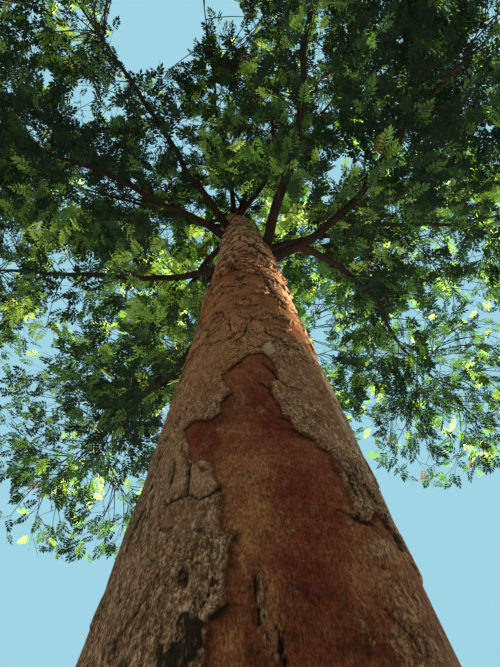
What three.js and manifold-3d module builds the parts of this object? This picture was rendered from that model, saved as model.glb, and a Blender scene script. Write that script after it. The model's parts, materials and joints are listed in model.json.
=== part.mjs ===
// A brazilwood tree: a straight trunk on a flared root collar, boughs that leave it in a loose
// spiral, and a broad dome of separate masses of feathery foliage.
// Millimetres, +Z up, with the origin at the centre of the flat cut at ground level.
import * as THREE from "three";
import { mergeVertices } from "three/addons/utils/BufferGeometryUtils.js";
import Module from "manifold-3d";

// Trunk, from the ground to the face that the leader stands on
const TRUNK_HEIGHT = 6800;
const TRUNK_RADIUS_AT_GROUND = 252; // of the straight stem, without the root flare
const TRUNK_TAPER = 0.0126; // radius lost for each millimetre of height
const TRUNK_TOP_NARROWING = 10; // further radius lost above the first boughs
const FIRST_BOUGH_HEIGHT = 4700;
const LEAN_START = 4900; // up to here the trunk's axis is upright
const TRUNK_LEAN = -80; // how far along X its top stands off, on a curve from there
const FLARE_RADIUS = 200; // what the root flare adds at the ground
const FLARE_HEIGHT = 1100; // height in which the flare falls to a third
const ROOT_RIDGES = 6;
const RIDGE_SHARE = 0.34; // how far the ridges stand out of the flare, as a share of it
const RIDGE_CROWDING = 1.3; // how unevenly they are spaced round the trunk
const TRUNK_SIDES = 26;
const TRUNK_STEPS = 16;
const TRUNK_STEP_GROWTH = 1.5; // the steps are shorter in the root flare

// Boughs
const PRIMARY = { sides: 7, steps: 5, tipShare: 0.42 };
const SECONDARY = { sides: 6, steps: 4, tipShare: 0.45 };
const BOUGH_TAPER_POWER = 0.8; // under 1, a bough thins most near its foot
const BOUGH_RISE_SHARE = 0.34; // how far a bough keeps its first direction, as a share of its length
const BOUGH_ENTRY_SHARE = 0.22; // and how far it has its last direction
const BOUGH_END_DEPTH = 0.9; // how far from its mass's centre a bough ends, as a share of the half size
const JOINT_GAP = 0.3; // clearance of a bough's foot and of a mass's stem

// Foliage masses: a stem, twigs that leave it, and sprays of leaves that leave the twigs
const SPACE_MARGIN = 0.03; // share of the half size kept free between two masses
const STEM = { radius: 26, sides: 3, steps: 3 };
const STEM_PAST_CENTRE = { ahead: 0.3, up: 0.25 }; // where it ends, as shares of the half sizes
const TWIG = { radius: 17, sides: 3, steps: 2 };
const TWIGS = 6;
const FIRST_SEED = 1000; // each mass grows from a seed of its own
const GOLDEN_ANGLE = Math.PI * (3 - Math.sqrt(5));
const TWIG_SCATTER = 0.4; // how far a twig strays from the golden spiral, in radians
const TWIG_VIGOUR = { least: 0.9, spread: 0.2 };
const TWIG_REACH = { across: 0.56, up: 0.76 }; // where twigs end, as shares of the half sizes
const TWIG_BOW = 0.12; // how far a twig bows forward along the stem, as a share of its length
const TWIG_ROOTS = { from: 0.2, to: 0.95 }; // the stretch of the stem that twigs leave
const TWIG_CUT = { step: 0.1, least: 0.4 }; // how a twig that leaves its mass's space is shortened
const SHORTEST_TWIG = 260;
const SPRAY_LENGTH = 800;
const SPRAY_WIDTH_SHARE = 0.52; // of a spray's length
const SPRAY_THICKNESS = 16;
const SPRAY_SLOPE = 0.6; // how much of a twig's slope its sprays keep
const SPRAY_DROOP = 0.14; // and how far they hang, as a slope
const SPRAY_TILT = 0.75; // how far the sprays roll to either side, as a slope
const SPRAY_TRIMS = [1, 0.84, 0.7, 0.58]; // lengths tried until the spray fits in its mass
const SPRAY_SHOULDER = 0.42; // where a spray is widest, from its root
const SPRAY_ROOT_SINK = 3; // how deep a spray's root lies past the twig's axis
const SPRAY_SCATTER = 0.5; // how far a spray's turn strays, in radians
const SPRAY_PLACES = [
  { at: 0.4, turn: 1.05, length: 0.9 },
  { at: 0.6, turn: -1.0, length: 0.95 },
  { at: 0.78, turn: 0.85, length: 0.95 },
  { at: 0.9, turn: -0.2, length: 1.0 },
];

// Each mass: where its centre lies round the trunk, and its half sizes across and upwards.
// Each bough leaves its parent at a height up the trunk, or at a share of its parent's length. It
// rises at an angle in degrees, and first swings to the left of its mass by another.
const MASSES = [
  { name: "lower_east", azimuth: 0, out: 3050, height: 7100, across: 1350, up: 1000 },
  { name: "lower_north_east", azimuth: 42, out: 2900, height: 7350, across: 1350, up: 1000 },
  { name: "lower_north", azimuth: 88, out: 2750, height: 7700, across: 1350, up: 1000 },
  { name: "lower_north_west", azimuth: 128, out: 3050, height: 6950, across: 1350, up: 1050 },
  { name: "lower_west", azimuth: 175, out: 3050, height: 6950, across: 1300, up: 950 },
  { name: "lower_south_west", azimuth: 205, out: 3050, height: 7250, across: 1300, up: 1000 },
  { name: "lower_south", azimuth: 236, out: 2950, height: 7500, across: 1300, up: 1000 },
  { name: "lower_south_east", azimuth: 290, out: 3000, height: 7500, across: 1350, up: 1000 },
  { name: "lower_east_south", azimuth: 326, out: 3000, height: 7150, across: 1300, up: 950 },
  { name: "inner_east", azimuth: 22, out: 1500, height: 7400, across: 1050, up: 800 },
  { name: "inner_north", azimuth: 112, out: 1500, height: 7350, across: 1050, up: 800 },
  { name: "inner_west", azimuth: 195, out: 1500, height: 7400, across: 1050, up: 800 },
  { name: "inner_south", azimuth: 282, out: 1550, height: 7600, across: 1050, up: 800 },
  { name: "upper_east", azimuth: 12, out: 2400, height: 8650, across: 1350, up: 1000 },
  { name: "upper_north_east", azimuth: 70, out: 2300, height: 8850, across: 1350, up: 1000 },
  { name: "upper_north_west", azimuth: 130, out: 2350, height: 8700, across: 1350, up: 1000 },
  { name: "upper_west", azimuth: 192, out: 2400, height: 8600, across: 1350, up: 1000 },
  { name: "upper_south", azimuth: 262, out: 2350, height: 8850, across: 1350, up: 1000 },
  { name: "upper_south_east", azimuth: 312, out: 2400, height: 8700, across: 1350, up: 1000 },
  { name: "top_east", azimuth: 45, out: 1250, height: 9850, across: 1200, up: 950 },
  { name: "top_west", azimuth: 165, out: 1250, height: 9800, across: 1200, up: 950 },
  { name: "top_south", azimuth: 285, out: 1250, height: 9900, across: 1200, up: 950 },
  { name: "summit", azimuth: 90, out: 120, height: 10400, across: 1100, up: 900 },
];

const BOUGHS = [
  { to: "lower_east_south", from: "trunk", at: 5150, radius: 36, rise: 24, swing: 34 },
  { to: "lower_north_east", from: "lower_east_south", at: 0.16, radius: 26, rise: 22, swing: -24 },
  { to: "lower_east", from: "trunk", at: 5500, radius: 28, rise: 30, swing: -10 },
  { to: "inner_east", from: "lower_east", at: 0.45, radius: 17, rise: 60, swing: 18 },
  { to: "lower_south_east", from: "trunk", at: 4880, radius: 40, rise: 64, swing: 46 },
  { to: "inner_south", from: "lower_south_east", at: 0.38, radius: 20, rise: 60, swing: -34 },
  { to: "lower_north", from: "trunk", at: 5600, radius: 31, rise: 42, swing: 16 },
  { to: "inner_north", from: "lower_north", at: 0.36, radius: 17, rise: 64, swing: -22 },
  { to: "lower_north_west", from: "trunk", at: 4600, radius: 32, rise: 33, swing: -8 },
  { to: "lower_west", from: "trunk", at: 5100, radius: 27, rise: 30, swing: -18 },
  { to: "lower_south_west", from: "trunk", at: 5700, radius: 30, rise: 34, swing: 10 },
  { to: "inner_west", from: "lower_south_west", at: 0.34, radius: 17, rise: 60, swing: -24 },
  { to: "lower_south", from: "trunk", at: 6050, radius: 32, rise: 36, swing: -10 },
  { to: "summit", from: "trunk", at: 6750, radius: 112, rise: 85, swing: 120 },
  { to: "upper_east", from: "trunk", at: 6050, radius: 32, rise: 54, swing: 20 },
  { to: "upper_north_east", from: "summit", at: 0.08, radius: 30, rise: 44, swing: -22 },
  { to: "upper_north_west", from: "trunk", at: 6350, radius: 32, rise: 52, swing: 24 },
  { to: "upper_west", from: "summit", at: 0.12, radius: 30, rise: 46, swing: -20 },
  { to: "upper_south", from: "summit", at: 0.2, radius: 29, rise: 46, swing: 10 },
  { to: "upper_south_east", from: "summit", at: 0.06, radius: 30, rise: 46, swing: -24 },
  { to: "top_east", from: "summit", at: 0.42, radius: 28, rise: 58, swing: 22 },
  { to: "top_west", from: "summit", at: 0.5, radius: 27, rise: 58, swing: -22 },
  { to: "top_south", from: "summit", at: 0.34, radius: 28, rise: 58, swing: 20 },
];

const BARK = new THREE.MeshStandardMaterial({ color: 0x8a6a4f, roughness: 0.92, metalness: 0 });
const BOUGH_BARK = new THREE.MeshStandardMaterial({ color: 0x6f5d4c, roughness: 0.9, metalness: 0 });
const FOLIAGE = new THREE.MeshStandardMaterial({ color: 0x3f6b2a, roughness: 0.6, metalness: 0 });

const wasm = await Module();
wasm.setup();

const UP = new THREE.Vector3(0, 0, 1);
const STEEP = 0.98; // a limb whose direction rises more than this has no level side of its own
const lerp = THREE.MathUtils.lerp;

// Random numbers from 0 to 1 that are the same on each run.
function seededRandom(seed) {
  let state = seed >>> 0;
  return () => {
    state = (Math.imul(state, 1664525) + 1013904223) >>> 0;
    return state / 4294967296;
  };
}

// A point at an azimuth in degrees round the trunk, a distance out from it and a height.
function polar(azimuth, out, height) {
  const turn = THREE.MathUtils.degToRad(azimuth);
  return new THREE.Vector3(out * Math.cos(turn), out * Math.sin(turn), height);
}

// The manifold solid of a closed three.js geometry.
function solidOf(geometry) {
  geometry.deleteAttribute("normal");
  geometry.deleteAttribute("uv");
  const merged = mergeVertices(geometry, 1e-3);
  return new wasm.Manifold(
    new wasm.Mesh({
      numProp: 3,
      vertProperties: merged.attributes.position.array,
      triVerts: new Uint32Array(merged.index.array),
    }),
  );
}

// The named three.js mesh of a manifold solid.
function meshOf(name, solid, material) {
  const { vertProperties, triVerts, numProp, numVert } = solid.getMesh();
  const places = new Float32Array(numVert * 3);
  for (let i = 0; i < numVert; i++)
    places.set(vertProperties.subarray(i * numProp, i * numProp + 3), i * 3);
  const geometry = new THREE.BufferGeometry();
  geometry.setAttribute("position", new THREE.BufferAttribute(places, 3));
  geometry.setIndex(new THREE.BufferAttribute(triVerts, 1));
  geometry.computeVertexNormals();
  const mesh = new THREE.Mesh(geometry, material);
  mesh.name = name;
  return mesh;
}

// True for a point on the axis of a cylinder geometry, such as the centre of its cap.
function onAxis(place, i) {
  return Math.hypot(place.getX(i), place.getZ(i)) < 1e-6;
}

// A closed cylinder bent along a curve, with a radius for each share of its length.
// One whose radius falls to nothing ends in a point.
function limbSolid(curve, radiusAt, sides, steps) {
  const geometry = new THREE.CylinderGeometry(Math.sign(radiusAt(1)), 1, 1, sides, steps);
  const place = geometry.attributes.position;
  const chord = curve.getPoint(1).sub(curve.getPoint(0)).normalize();
  const level = chord.cross(Math.abs(chord.z) > STEEP ? new THREE.Vector3(-1, 0, 0) : UP).normalize();
  for (let i = 0; i < place.count; i++) {
    const share = place.getY(i) + 0.5;
    const angle = Math.atan2(place.getZ(i), place.getX(i));
    const radius = onAxis(place, i) ? 0 : radiusAt(share);
    const along = curve.getTangent(share);
    const first = level.clone().addScaledVector(along, -level.dot(along)).normalize();
    const second = first.clone().cross(along);
    const point = curve
      .getPoint(share)
      .addScaledVector(first, radius * Math.cos(angle))
      .addScaledVector(second, radius * Math.sin(angle));
    place.setXYZ(i, point.x, point.y, point.z);
  }
  return solidOf(geometry);
}

// The trunk's radius at a height, at an angle round it.
function trunkRadius(height, angle) {
  const narrowing = Math.max(0, (height - FIRST_BOUGH_HEIGHT) / (TRUNK_HEIGHT - FIRST_BOUGH_HEIGHT));
  const stem = TRUNK_RADIUS_AT_GROUND - TRUNK_TAPER * height - TRUNK_TOP_NARROWING * narrowing;
  const ridges = 1 + RIDGE_SHARE * Math.cos(ROOT_RIDGES * angle + RIDGE_CROWDING * Math.sin(angle));
  return stem + FLARE_RADIUS * Math.exp(-height / FLARE_HEIGHT) * ridges;
}

// The trunk's axis at a height: upright, then curving off along X.
function trunkAxis(height) {
  const share = Math.max(0, (height - LEAN_START) / (TRUNK_HEIGHT - LEAN_START));
  return new THREE.Vector3(TRUNK_LEAN * share * share, 0, height);
}

// The trunk, or one that is larger all round by a clearance.
function trunkSolid(grow) {
  const geometry = new THREE.CylinderGeometry(1, 1, 1, TRUNK_SIDES, TRUNK_STEPS);
  const place = geometry.attributes.position;
  for (let i = 0; i < place.count; i++) {
    const height = (TRUNK_HEIGHT + grow) * (place.getY(i) + 0.5) ** TRUNK_STEP_GROWTH;
    const angle = Math.atan2(-place.getZ(i), place.getX(i));
    const radius = onAxis(place, i) ? 0 : trunkRadius(height, angle) + grow;
    const { x } = trunkAxis(height);
    place.setXYZ(i, x + radius * Math.cos(angle), radius * Math.sin(angle), height);
  }
  return solidOf(geometry);
}

// Where a point lies in a mass: 0 at its centre, 1 on its outer surface.
function depthIn(mass, point) {
  const away = point.clone().sub(mass.centre);
  return Math.hypot(away.x / mass.across, away.y / mass.across, away.z / mass.up);
}

// True if a point lies in the mass's own space: inside it, and nearer to it than to the others.
function owns(mass, point) {
  const depth = depthIn(mass, point);
  const clearOf = (other) => other === mass || depthIn(other, point) > depth + SPACE_MARGIN;
  return depth <= 1 && masses.every(clearOf);
}

// The curve of a bough from its parent to the edge of its mass.
function boughCurve(bough, mass) {
  let start = trunkAxis(bough.at);
  if (bough.from !== "trunk") start = limbs.get(bough.from).getPoint(bough.at);
  const swing = THREE.MathUtils.degToRad(bough.swing);
  const heading = mass.centre.clone().sub(start).setZ(0).normalize().applyAxisAngle(UP, swing);
  const rise = THREE.MathUtils.degToRad(bough.rise);
  const first = heading.clone().multiplyScalar(Math.cos(rise)).addScaledVector(UP, Math.sin(rise));
  const end = mass.centre.clone().lerp(start, BOUGH_END_DEPTH / depthIn(mass, start));
  const length = end.distanceTo(start);
  const last = mass.centre.clone().sub(end).normalize();
  return new THREE.CubicBezierCurve3(
    start,
    start.clone().addScaledVector(first, BOUGH_RISE_SHARE * length),
    end.clone().addScaledVector(last, -BOUGH_ENTRY_SHARE * length),
    end,
  );
}

// The stem of a mass, from its bough's tip through its centre towards the far side.
function stemCurve(mass, bough) {
  const ahead = bough.getTangent(1);
  const start = bough.getPoint(1).addScaledVector(ahead, JOINT_GAP);
  const end = mass.centre
    .clone()
    .addScaledVector(ahead, STEM_PAST_CENTRE.ahead * mass.across)
    .addScaledVector(UP, STEM_PAST_CENTRE.up * mass.up);
  const bend = start.clone().addScaledVector(ahead, end.distanceTo(start) / 2);
  return new THREE.QuadraticBezierCurve3(start, bend, end);
}

// The twigs of a mass. Their ends are spread evenly by a golden spiral, and those that point
// forward leave the stem further along. One that leaves the mass's space is shortened.
function twigCurves(mass, stem, random) {
  const curves = [];
  const phase = 2 * Math.PI * random();
  const axis = stem.getPoint(1).sub(stem.getPoint(0)).normalize();
  for (let k = 0; k < TWIGS; k++) {
    const level = 1 - (2 * (k + 0.5)) / TWIGS;
    const turn = phase + k * GOLDEN_ANGLE + TWIG_SCATTER * (random() - 0.5);
    const flat = Math.sqrt(1 - level * level);
    const unit = new THREE.Vector3(flat * Math.cos(turn), flat * Math.sin(turn), level);
    const vigour = TWIG_VIGOUR.least + TWIG_VIGOUR.spread * random();
    const forward = 0.5 + 0.5 * unit.dot(axis);
    const root = chordPoint(stem, STEM.steps, lerp(TWIG_ROOTS.from, TWIG_ROOTS.to, forward));
    const across = vigour * TWIG_REACH.across * mass.across;
    const span = new THREE.Vector3(across, across, vigour * TWIG_REACH.up * mass.up).multiply(unit);
    const wanted = mass.centre.clone().add(span);
    let share = 1;
    while (share > TWIG_CUT.least && !owns(mass, root.clone().lerp(wanted, share))) share -= TWIG_CUT.step;
    const end = root.clone().lerp(wanted, share);
    const length = end.distanceTo(root);
    if (length < SHORTEST_TWIG) continue;
    const bend = root.clone().lerp(end, 0.5).addScaledVector(axis, TWIG_BOW * length);
    curves.push(new THREE.QuadraticBezierCurve3(root, bend, end));
  }
  return curves;
}

// A point on the straight steps that a limb of so many steps is made of.
function chordPoint(curve, steps, share) {
  const step = Math.min(Math.floor(share * steps), steps - 1);
  const start = curve.getPoint(step / steps);
  return start.lerp(curve.getPoint((step + 1) / steps), share * steps - step);
}

// A flat eight-faced spray with a diamond outline, from its root along a direction.
function spraySolid({ root, ahead, face, length }) {
  const geometry = new THREE.OctahedronGeometry(1);
  const side = face.clone().cross(ahead).normalize();
  const top = ahead.clone().cross(side).normalize();
  const shoulder = root.clone().addScaledVector(ahead, length * SPRAY_SHOULDER);
  const place = geometry.attributes.position;
  for (let i = 0; i < place.count; i++) {
    const x = place.getX(i);
    const reach = x > 0 ? 1 - SPRAY_SHOULDER : SPRAY_SHOULDER;
    const point = shoulder
      .clone()
      .addScaledVector(ahead, x * reach * length)
      .addScaledVector(side, (place.getY(i) * SPRAY_WIDTH_SHARE * length) / 2)
      .addScaledVector(top, (place.getZ(i) * SPRAY_THICKNESS) / 2);
    place.setXYZ(i, point.x, point.y, point.z);
  }
  return solidOf(geometry);
}

// The sprays of one twig: each a root, a direction and a length, alternately left and right.
function spraysOn(twig, random) {
  return SPRAY_PLACES.map((spot) => {
    const along = twig.getTangent(spot.at);
    const tilt = new THREE.Vector3(random() - 0.5, random() - 0.5, 0.5 / SPRAY_TILT).normalize();
    const side = tilt.clone().cross(along).normalize();
    const turn = spot.turn + SPRAY_SCATTER * (random() - 0.5);
    const ahead = along.clone().multiplyScalar(Math.cos(turn)).addScaledVector(side, Math.sin(turn));
    ahead.setZ(ahead.z * SPRAY_SLOPE - SPRAY_DROOP).normalize();
    const root = chordPoint(twig, TWIG.steps, spot.at).addScaledVector(ahead, -SPRAY_ROOT_SINK);
    return { root, ahead, face: tilt, length: SPRAY_LENGTH * spot.length };
  });
}

// True if a spray's outline stays in the mass's own space.
function sprayFits(mass, { root, ahead, face, length }) {
  const side = face.clone().cross(ahead).normalize();
  const half = (SPRAY_WIDTH_SHARE * length) / 2;
  const middle = root.clone().addScaledVector(ahead, length * SPRAY_SHOULDER);
  return [
    root.clone().addScaledVector(ahead, length),
    middle.clone().addScaledVector(side, half),
    middle.clone().addScaledVector(side, -half),
  ].every((corner) => owns(mass, corner));
}

// True if two solids share space.
function touch(a, b) {
  const boxA = a.boundingBox();
  const boxB = b.boundingBox();
  const apart = [0, 1, 2].some((k) => boxA.min[k] > boxB.max[k] || boxB.min[k] > boxA.max[k]);
  return !apart && a.intersect(b).volume() > 0;
}

// The solid of a mass: its stem, and the twigs and sprays that keep to its space and clear of limbs.
function massSolid(mass, seed) {
  const random = seededRandom(seed);
  const stem = stemCurve(mass, limbs.get(mass.name));
  const pointed = (size, curve) =>
    limbSolid(curve, (share) => size.radius * Math.sqrt(1 - share), size.sides, size.steps);
  const taken = [...grownLimbs];
  let solid = pointed(STEM, stem);
  for (const twig of twigCurves(mass, stem, random)) {
    const wood = pointed(TWIG, twig);
    if (grownLimbs.some((limb) => touch(limb, wood))) continue;
    solid = solid.add(wood);
    for (const spray of spraysOn(twig, random)) {
      const lengths = SPRAY_TRIMS.map((share) => ({ ...spray, length: spray.length * share }));
      const fitting = lengths.find((one) => sprayFits(mass, one));
      if (!fitting) continue;
      const blade = spraySolid(fitting);
      if (taken.some((piece) => touch(piece, blade))) continue;
      solid = solid.add(blade);
      taken.push(blade);
    }
  }
  return solid;
}

const tree = new THREE.Group();
tree.add(meshOf("trunk", trunkSolid(0), BARK));

const masses = MASSES.map((row) => ({ ...row, centre: polar(row.azimuth, row.out, row.height) }));

// Boughs, each cut clear of the trunk and of the boughs before it.
const limbs = new Map();
const grownLimbs = [trunkSolid(JOINT_GAP)];
for (const bough of BOUGHS) {
  const mass = masses.find((one) => one.name === bough.to);
  const curve = boughCurve(bough, mass);
  const shape = bough.from === "trunk" ? PRIMARY : SECONDARY;
  const radiusAt = (share) => bough.radius * lerp(1, shape.tipShare, share ** BOUGH_TAPER_POWER);
  const whole = (grow) => limbSolid(curve, (share) => radiusAt(share) + grow, shape.sides, shape.steps);
  const solid = grownLimbs.reduce((rest, limb) => rest.subtract(limb), whole(0));
  limbs.set(bough.to, curve);
  grownLimbs.push(whole(JOINT_GAP));
  tree.add(meshOf("bough_" + bough.to, solid, BOUGH_BARK));
}

for (const [index, mass] of masses.entries())
  tree.add(meshOf("foliage_" + mass.name, massSolid(mass, FIRST_SEED + index), FOLIAGE));

export default tree;
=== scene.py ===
"""Looks of the brazilwood tree: its bark, boughs, twigs and leaves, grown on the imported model.

Metres, +Z up, with the origin at the centre of the flat cut at ground level. The camera stands
close to the trunk on its -Y side and looks up it.
"""

import json
import logging
import math
from collections.abc import Sequence
from dataclasses import dataclass, field
from enum import Enum

import bpy
import numpy as np
from mathutils import Matrix

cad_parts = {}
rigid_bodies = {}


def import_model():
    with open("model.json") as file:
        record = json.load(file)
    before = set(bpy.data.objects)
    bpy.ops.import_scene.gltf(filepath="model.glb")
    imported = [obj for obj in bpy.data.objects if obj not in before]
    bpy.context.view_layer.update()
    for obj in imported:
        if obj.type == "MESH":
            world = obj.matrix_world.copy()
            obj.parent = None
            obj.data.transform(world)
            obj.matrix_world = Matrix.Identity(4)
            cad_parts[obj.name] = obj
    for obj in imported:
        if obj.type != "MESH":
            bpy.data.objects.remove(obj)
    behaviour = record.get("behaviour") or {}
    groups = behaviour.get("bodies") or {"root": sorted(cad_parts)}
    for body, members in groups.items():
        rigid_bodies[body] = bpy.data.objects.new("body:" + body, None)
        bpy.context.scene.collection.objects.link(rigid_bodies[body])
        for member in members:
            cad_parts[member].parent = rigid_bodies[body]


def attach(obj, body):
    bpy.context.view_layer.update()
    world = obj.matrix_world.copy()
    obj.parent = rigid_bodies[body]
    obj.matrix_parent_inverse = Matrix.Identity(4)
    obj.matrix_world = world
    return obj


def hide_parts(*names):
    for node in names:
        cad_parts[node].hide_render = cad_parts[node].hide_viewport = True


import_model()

Array = np.ndarray
Pair = tuple[float, float]
Colour = tuple[float, float, float]
Random = np.random.Generator
Material = bpy.types.Material
Piece = bpy.types.Object

TAU = 2 * math.pi
GOLDEN_ANGLE = math.pi * (3 - math.sqrt(5))
UP = np.array([0.0, 0.0, 1.0])
ROOT_BODY = "root"
log = logging.getLogger("tree")


# Shapes worked out as arrays


class Seeded:
    """Random numbers from 0 to 1 that are the same on each run."""

    def __init__(self, seed: int) -> None:
        """Starts the row of numbers at a seed."""
        self.state = seed

    def __call__(self) -> float:
        """The next number of the row."""
        self.state = (self.state * 1664525 + 1013904223) % 2**32
        return self.state / 2**32


def unit(vectors: Array) -> Array:
    """The same directions with a length of one."""
    return vectors / np.maximum(np.linalg.norm(vectors, axis=-1, keepdims=True), 1e-12)


def smooth(value: Array, low: float, high: float) -> Array:
    """A soft step: 0 below low, 1 above high, and 3s^2 - 2s^3 of the share s between them."""
    share = np.clip((value - low) / (high - low), 0, 1)
    return share * share * (3 - 2 * share)


def lattice(column: Array, row: Array, seed: int) -> Array:
    """A number from 0 to 1 for each corner of a lattice, scrambled from its column, row and seed."""
    mixed = (column * 374761393 + row * 668265263 + seed * 974634777) & 0xFFFFFFFF
    mixed = ((mixed ^ (mixed >> 13)) * 1274126177) & 0xFFFFFFFF
    return ((mixed ^ (mixed >> 16)) & 0xFFFFFF) / 0x1000000


def value_noise(u: Array, v: Array, around: int, seed: int) -> Array:
    """A smooth field from -1 to 1: the lattice's numbers, blended by a soft step inside each square.

    Args:
        u: Place round the limb, in squares. The field closes on itself after `around` of them.
        v: Place along the limb, in squares.
        around: How many squares go round.
        seed: Which field.

    Returns:
        The field's value at each place.
    """
    column, row = np.floor(u).astype(np.int64), np.floor(v).astype(np.int64)
    across, along = smooth(u - column, 0, 1), smooth(v - row, 0, 1)
    left, right = column % around, (column + 1) % around
    low = lattice(left, row, seed) * (1 - across) + lattice(right, row, seed) * across
    high = lattice(left, row + 1, seed) * (1 - across) + lattice(right, row + 1, seed) * across
    return 2 * (low * (1 - along) + high * along) - 1


def fractal(turns: Array, way: Array, around: int, seed: int, octaves: int = 3) -> Array:
    """Value noise summed over octaves, each with twice the squares and half the height.

    Args:
        turns: Place round the limb, in whole turns.
        way: Place along the limb, in squares of the first octave.
        around: Squares round the limb in the first octave.
        seed: Which field.
        octaves: How many fields are summed.

    Returns:
        The sum, from about -1 to 1.
    """
    total = np.zeros(np.broadcast(turns, way).shape)
    for octave in range(octaves):
        squares = around * 2**octave
        total += value_noise(turns * squares, way * 2**octave, squares, seed + 31 * octave) / 2**octave
    return total / (2 - 2.0 ** (1 - octaves))


@dataclass(frozen=True)
class Bezier:
    """A curve through its first and last control points, bent towards those between."""

    controls: Array

    def at(self, share: Array | float) -> Array:
        """The points on the curve: straight blends of neighbours, repeated until one is left.

        Args:
            share: Shares of the way along it.

        Returns:
            A point for each.
        """
        share = np.asarray(share, float)[..., None]
        points = [np.broadcast_to(one, (*share.shape[:-1], 3)) for one in self.controls]
        while len(points) > 1:
            points = [a * (1 - share) + b * share for a, b in zip(points, points[1:])]
        return points[0]

    def along(self, share: Array | float) -> Array:
        """The directions at shares of the curve: the same blend of the steps between its controls."""
        return unit(Bezier(np.diff(self.controls, axis=0)).at(share))

    def chord(self, steps: int, share: float) -> Array:
        """A point on the curve when it is drawn as straight steps.

        Args:
            steps: How many.
            share: The share of the way along it.

        Returns:
            The point.
        """
        step = min(int(share * steps), steps - 1)
        start, stop = self.at(step / steps), self.at((step + 1) / steps)
        return start + (stop - start) * (share * steps - step)

    def length(self) -> float:
        """The curve's length, as the sum of 32 chords."""
        return float(np.linalg.norm(np.diff(self.at(np.linspace(0, 1, 33)), axis=0), axis=1).sum())


def cross_sections(along: Array) -> tuple[Array, Array]:
    """Two directions across each direction of a limb.

    Args:
        along: The limb's directions.

    Returns:
        A level direction square to each, and the one square to both.
    """
    steep = np.abs(along[..., 2:3]) > 0.98
    level = unit(np.cross(along, np.where(steep, np.array([-1.0, 0.0, 0.0]), UP)))
    return level, np.cross(level, along)


@dataclass
class Shell:
    """The arrays of a mesh: corners, triangles, each triangle's finish and the corners' measures."""

    points: Array
    triangles: Array
    finish: Array | None = None
    measures: dict[str, Array] = field(default_factory=dict)
    normals: Array | None = None

    @staticmethod
    def joined(shells: Sequence["Shell"]) -> "Shell":
        """All shells as one, with each one's corners counted on from those before it.

        Args:
            shells: The shells, all with the same measures and without normals.

        Returns:
            The one shell.
        """
        counts = np.cumsum([0] + [len(shell.points) for shell in shells])
        names = shells[0].measures
        finishes = [shell.finish for shell in shells]
        return Shell(
            np.concatenate([shell.points for shell in shells]),
            np.concatenate([shell.triangles + start for shell, start in zip(shells, counts)]),
            None if finishes[0] is None else np.concatenate(finishes),
            {name: np.concatenate([shell.measures[name] for shell in shells]) for name in names},
        )

    def piece(self, name: str, finishes: Sequence[Material], soft: bool = True) -> Piece:
        """Makes the Blender object of the shell, at the origin.

        Args:
            name: The piece's name.
            finishes: The materials that `finish` counts through.
            soft: Whether light rounds the edges between its faces.

        Returns:
            The object, in the scene.
        """
        mesh = bpy.data.meshes.new(name)
        count = len(self.triangles)
        mesh.vertices.add(len(self.points))
        mesh.vertices.foreach_set("co", self.points.astype(np.float32).ravel())
        mesh.loops.add(3 * count)
        mesh.loops.foreach_set("vertex_index", self.triangles.astype(np.int32).ravel())
        mesh.polygons.add(count)
        mesh.polygons.foreach_set("loop_start", np.arange(0, 3 * count, 3, dtype=np.int32))
        mesh.polygons.foreach_set("use_smooth", np.full(count, soft))
        for finish in finishes:
            mesh.materials.append(finish)
        if self.finish is not None:
            mesh.polygons.foreach_set("material_index", self.finish.astype(np.int32))
        for measure, values in self.measures.items():
            attribute = mesh.attributes.new(measure, "FLOAT", "POINT")
            attribute.data.foreach_set("value", values.astype(np.float32).ravel())
        mesh.update(calc_edges=True)
        if self.normals is not None:
            mesh.normals_split_custom_set_from_vertices(self.normals.astype(np.float32))
        thing = bpy.data.objects.new(name, mesh)
        bpy.context.scene.collection.objects.link(thing)
        log.info("%s: %d triangles", name, count)
        return thing


def walls(rows: int, sides: int) -> Array:
    """The triangles round a tube whose corners are rows of sides, two for each square.

    Args:
        rows: Rings of corners along the tube.
        sides: Corners in each ring.

    Returns:
        The triangles.
    """
    row, side = np.meshgrid(np.arange(rows - 1), np.arange(sides), indexing="ij")
    here, beside = row * sides + side, row * sides + (side + 1) % sides
    return np.stack([here, beside, beside + sides, here, beside + sides, here + sides], -1).reshape(-1, 3)


def tube_triangles(rows: int, sides: int) -> Array:
    """The triangles of a closed tube, whose corners end with the middles of its two caps.

    Args:
        rows: Rings of corners along the tube.
        sides: Corners in each ring.

    Returns:
        Its walls, then a fan at the foot and one at the tip.
    """
    edge = np.arange(sides)
    turn = (edge + 1) % sides
    last = (rows - 1) * sides
    foot = np.stack([np.full(sides, rows * sides), turn, edge], -1)
    tip = np.stack([np.full(sides, rows * sides + 1), last + edge, last + turn], -1)
    return np.concatenate([walls(rows, sides), foot, tip])


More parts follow.
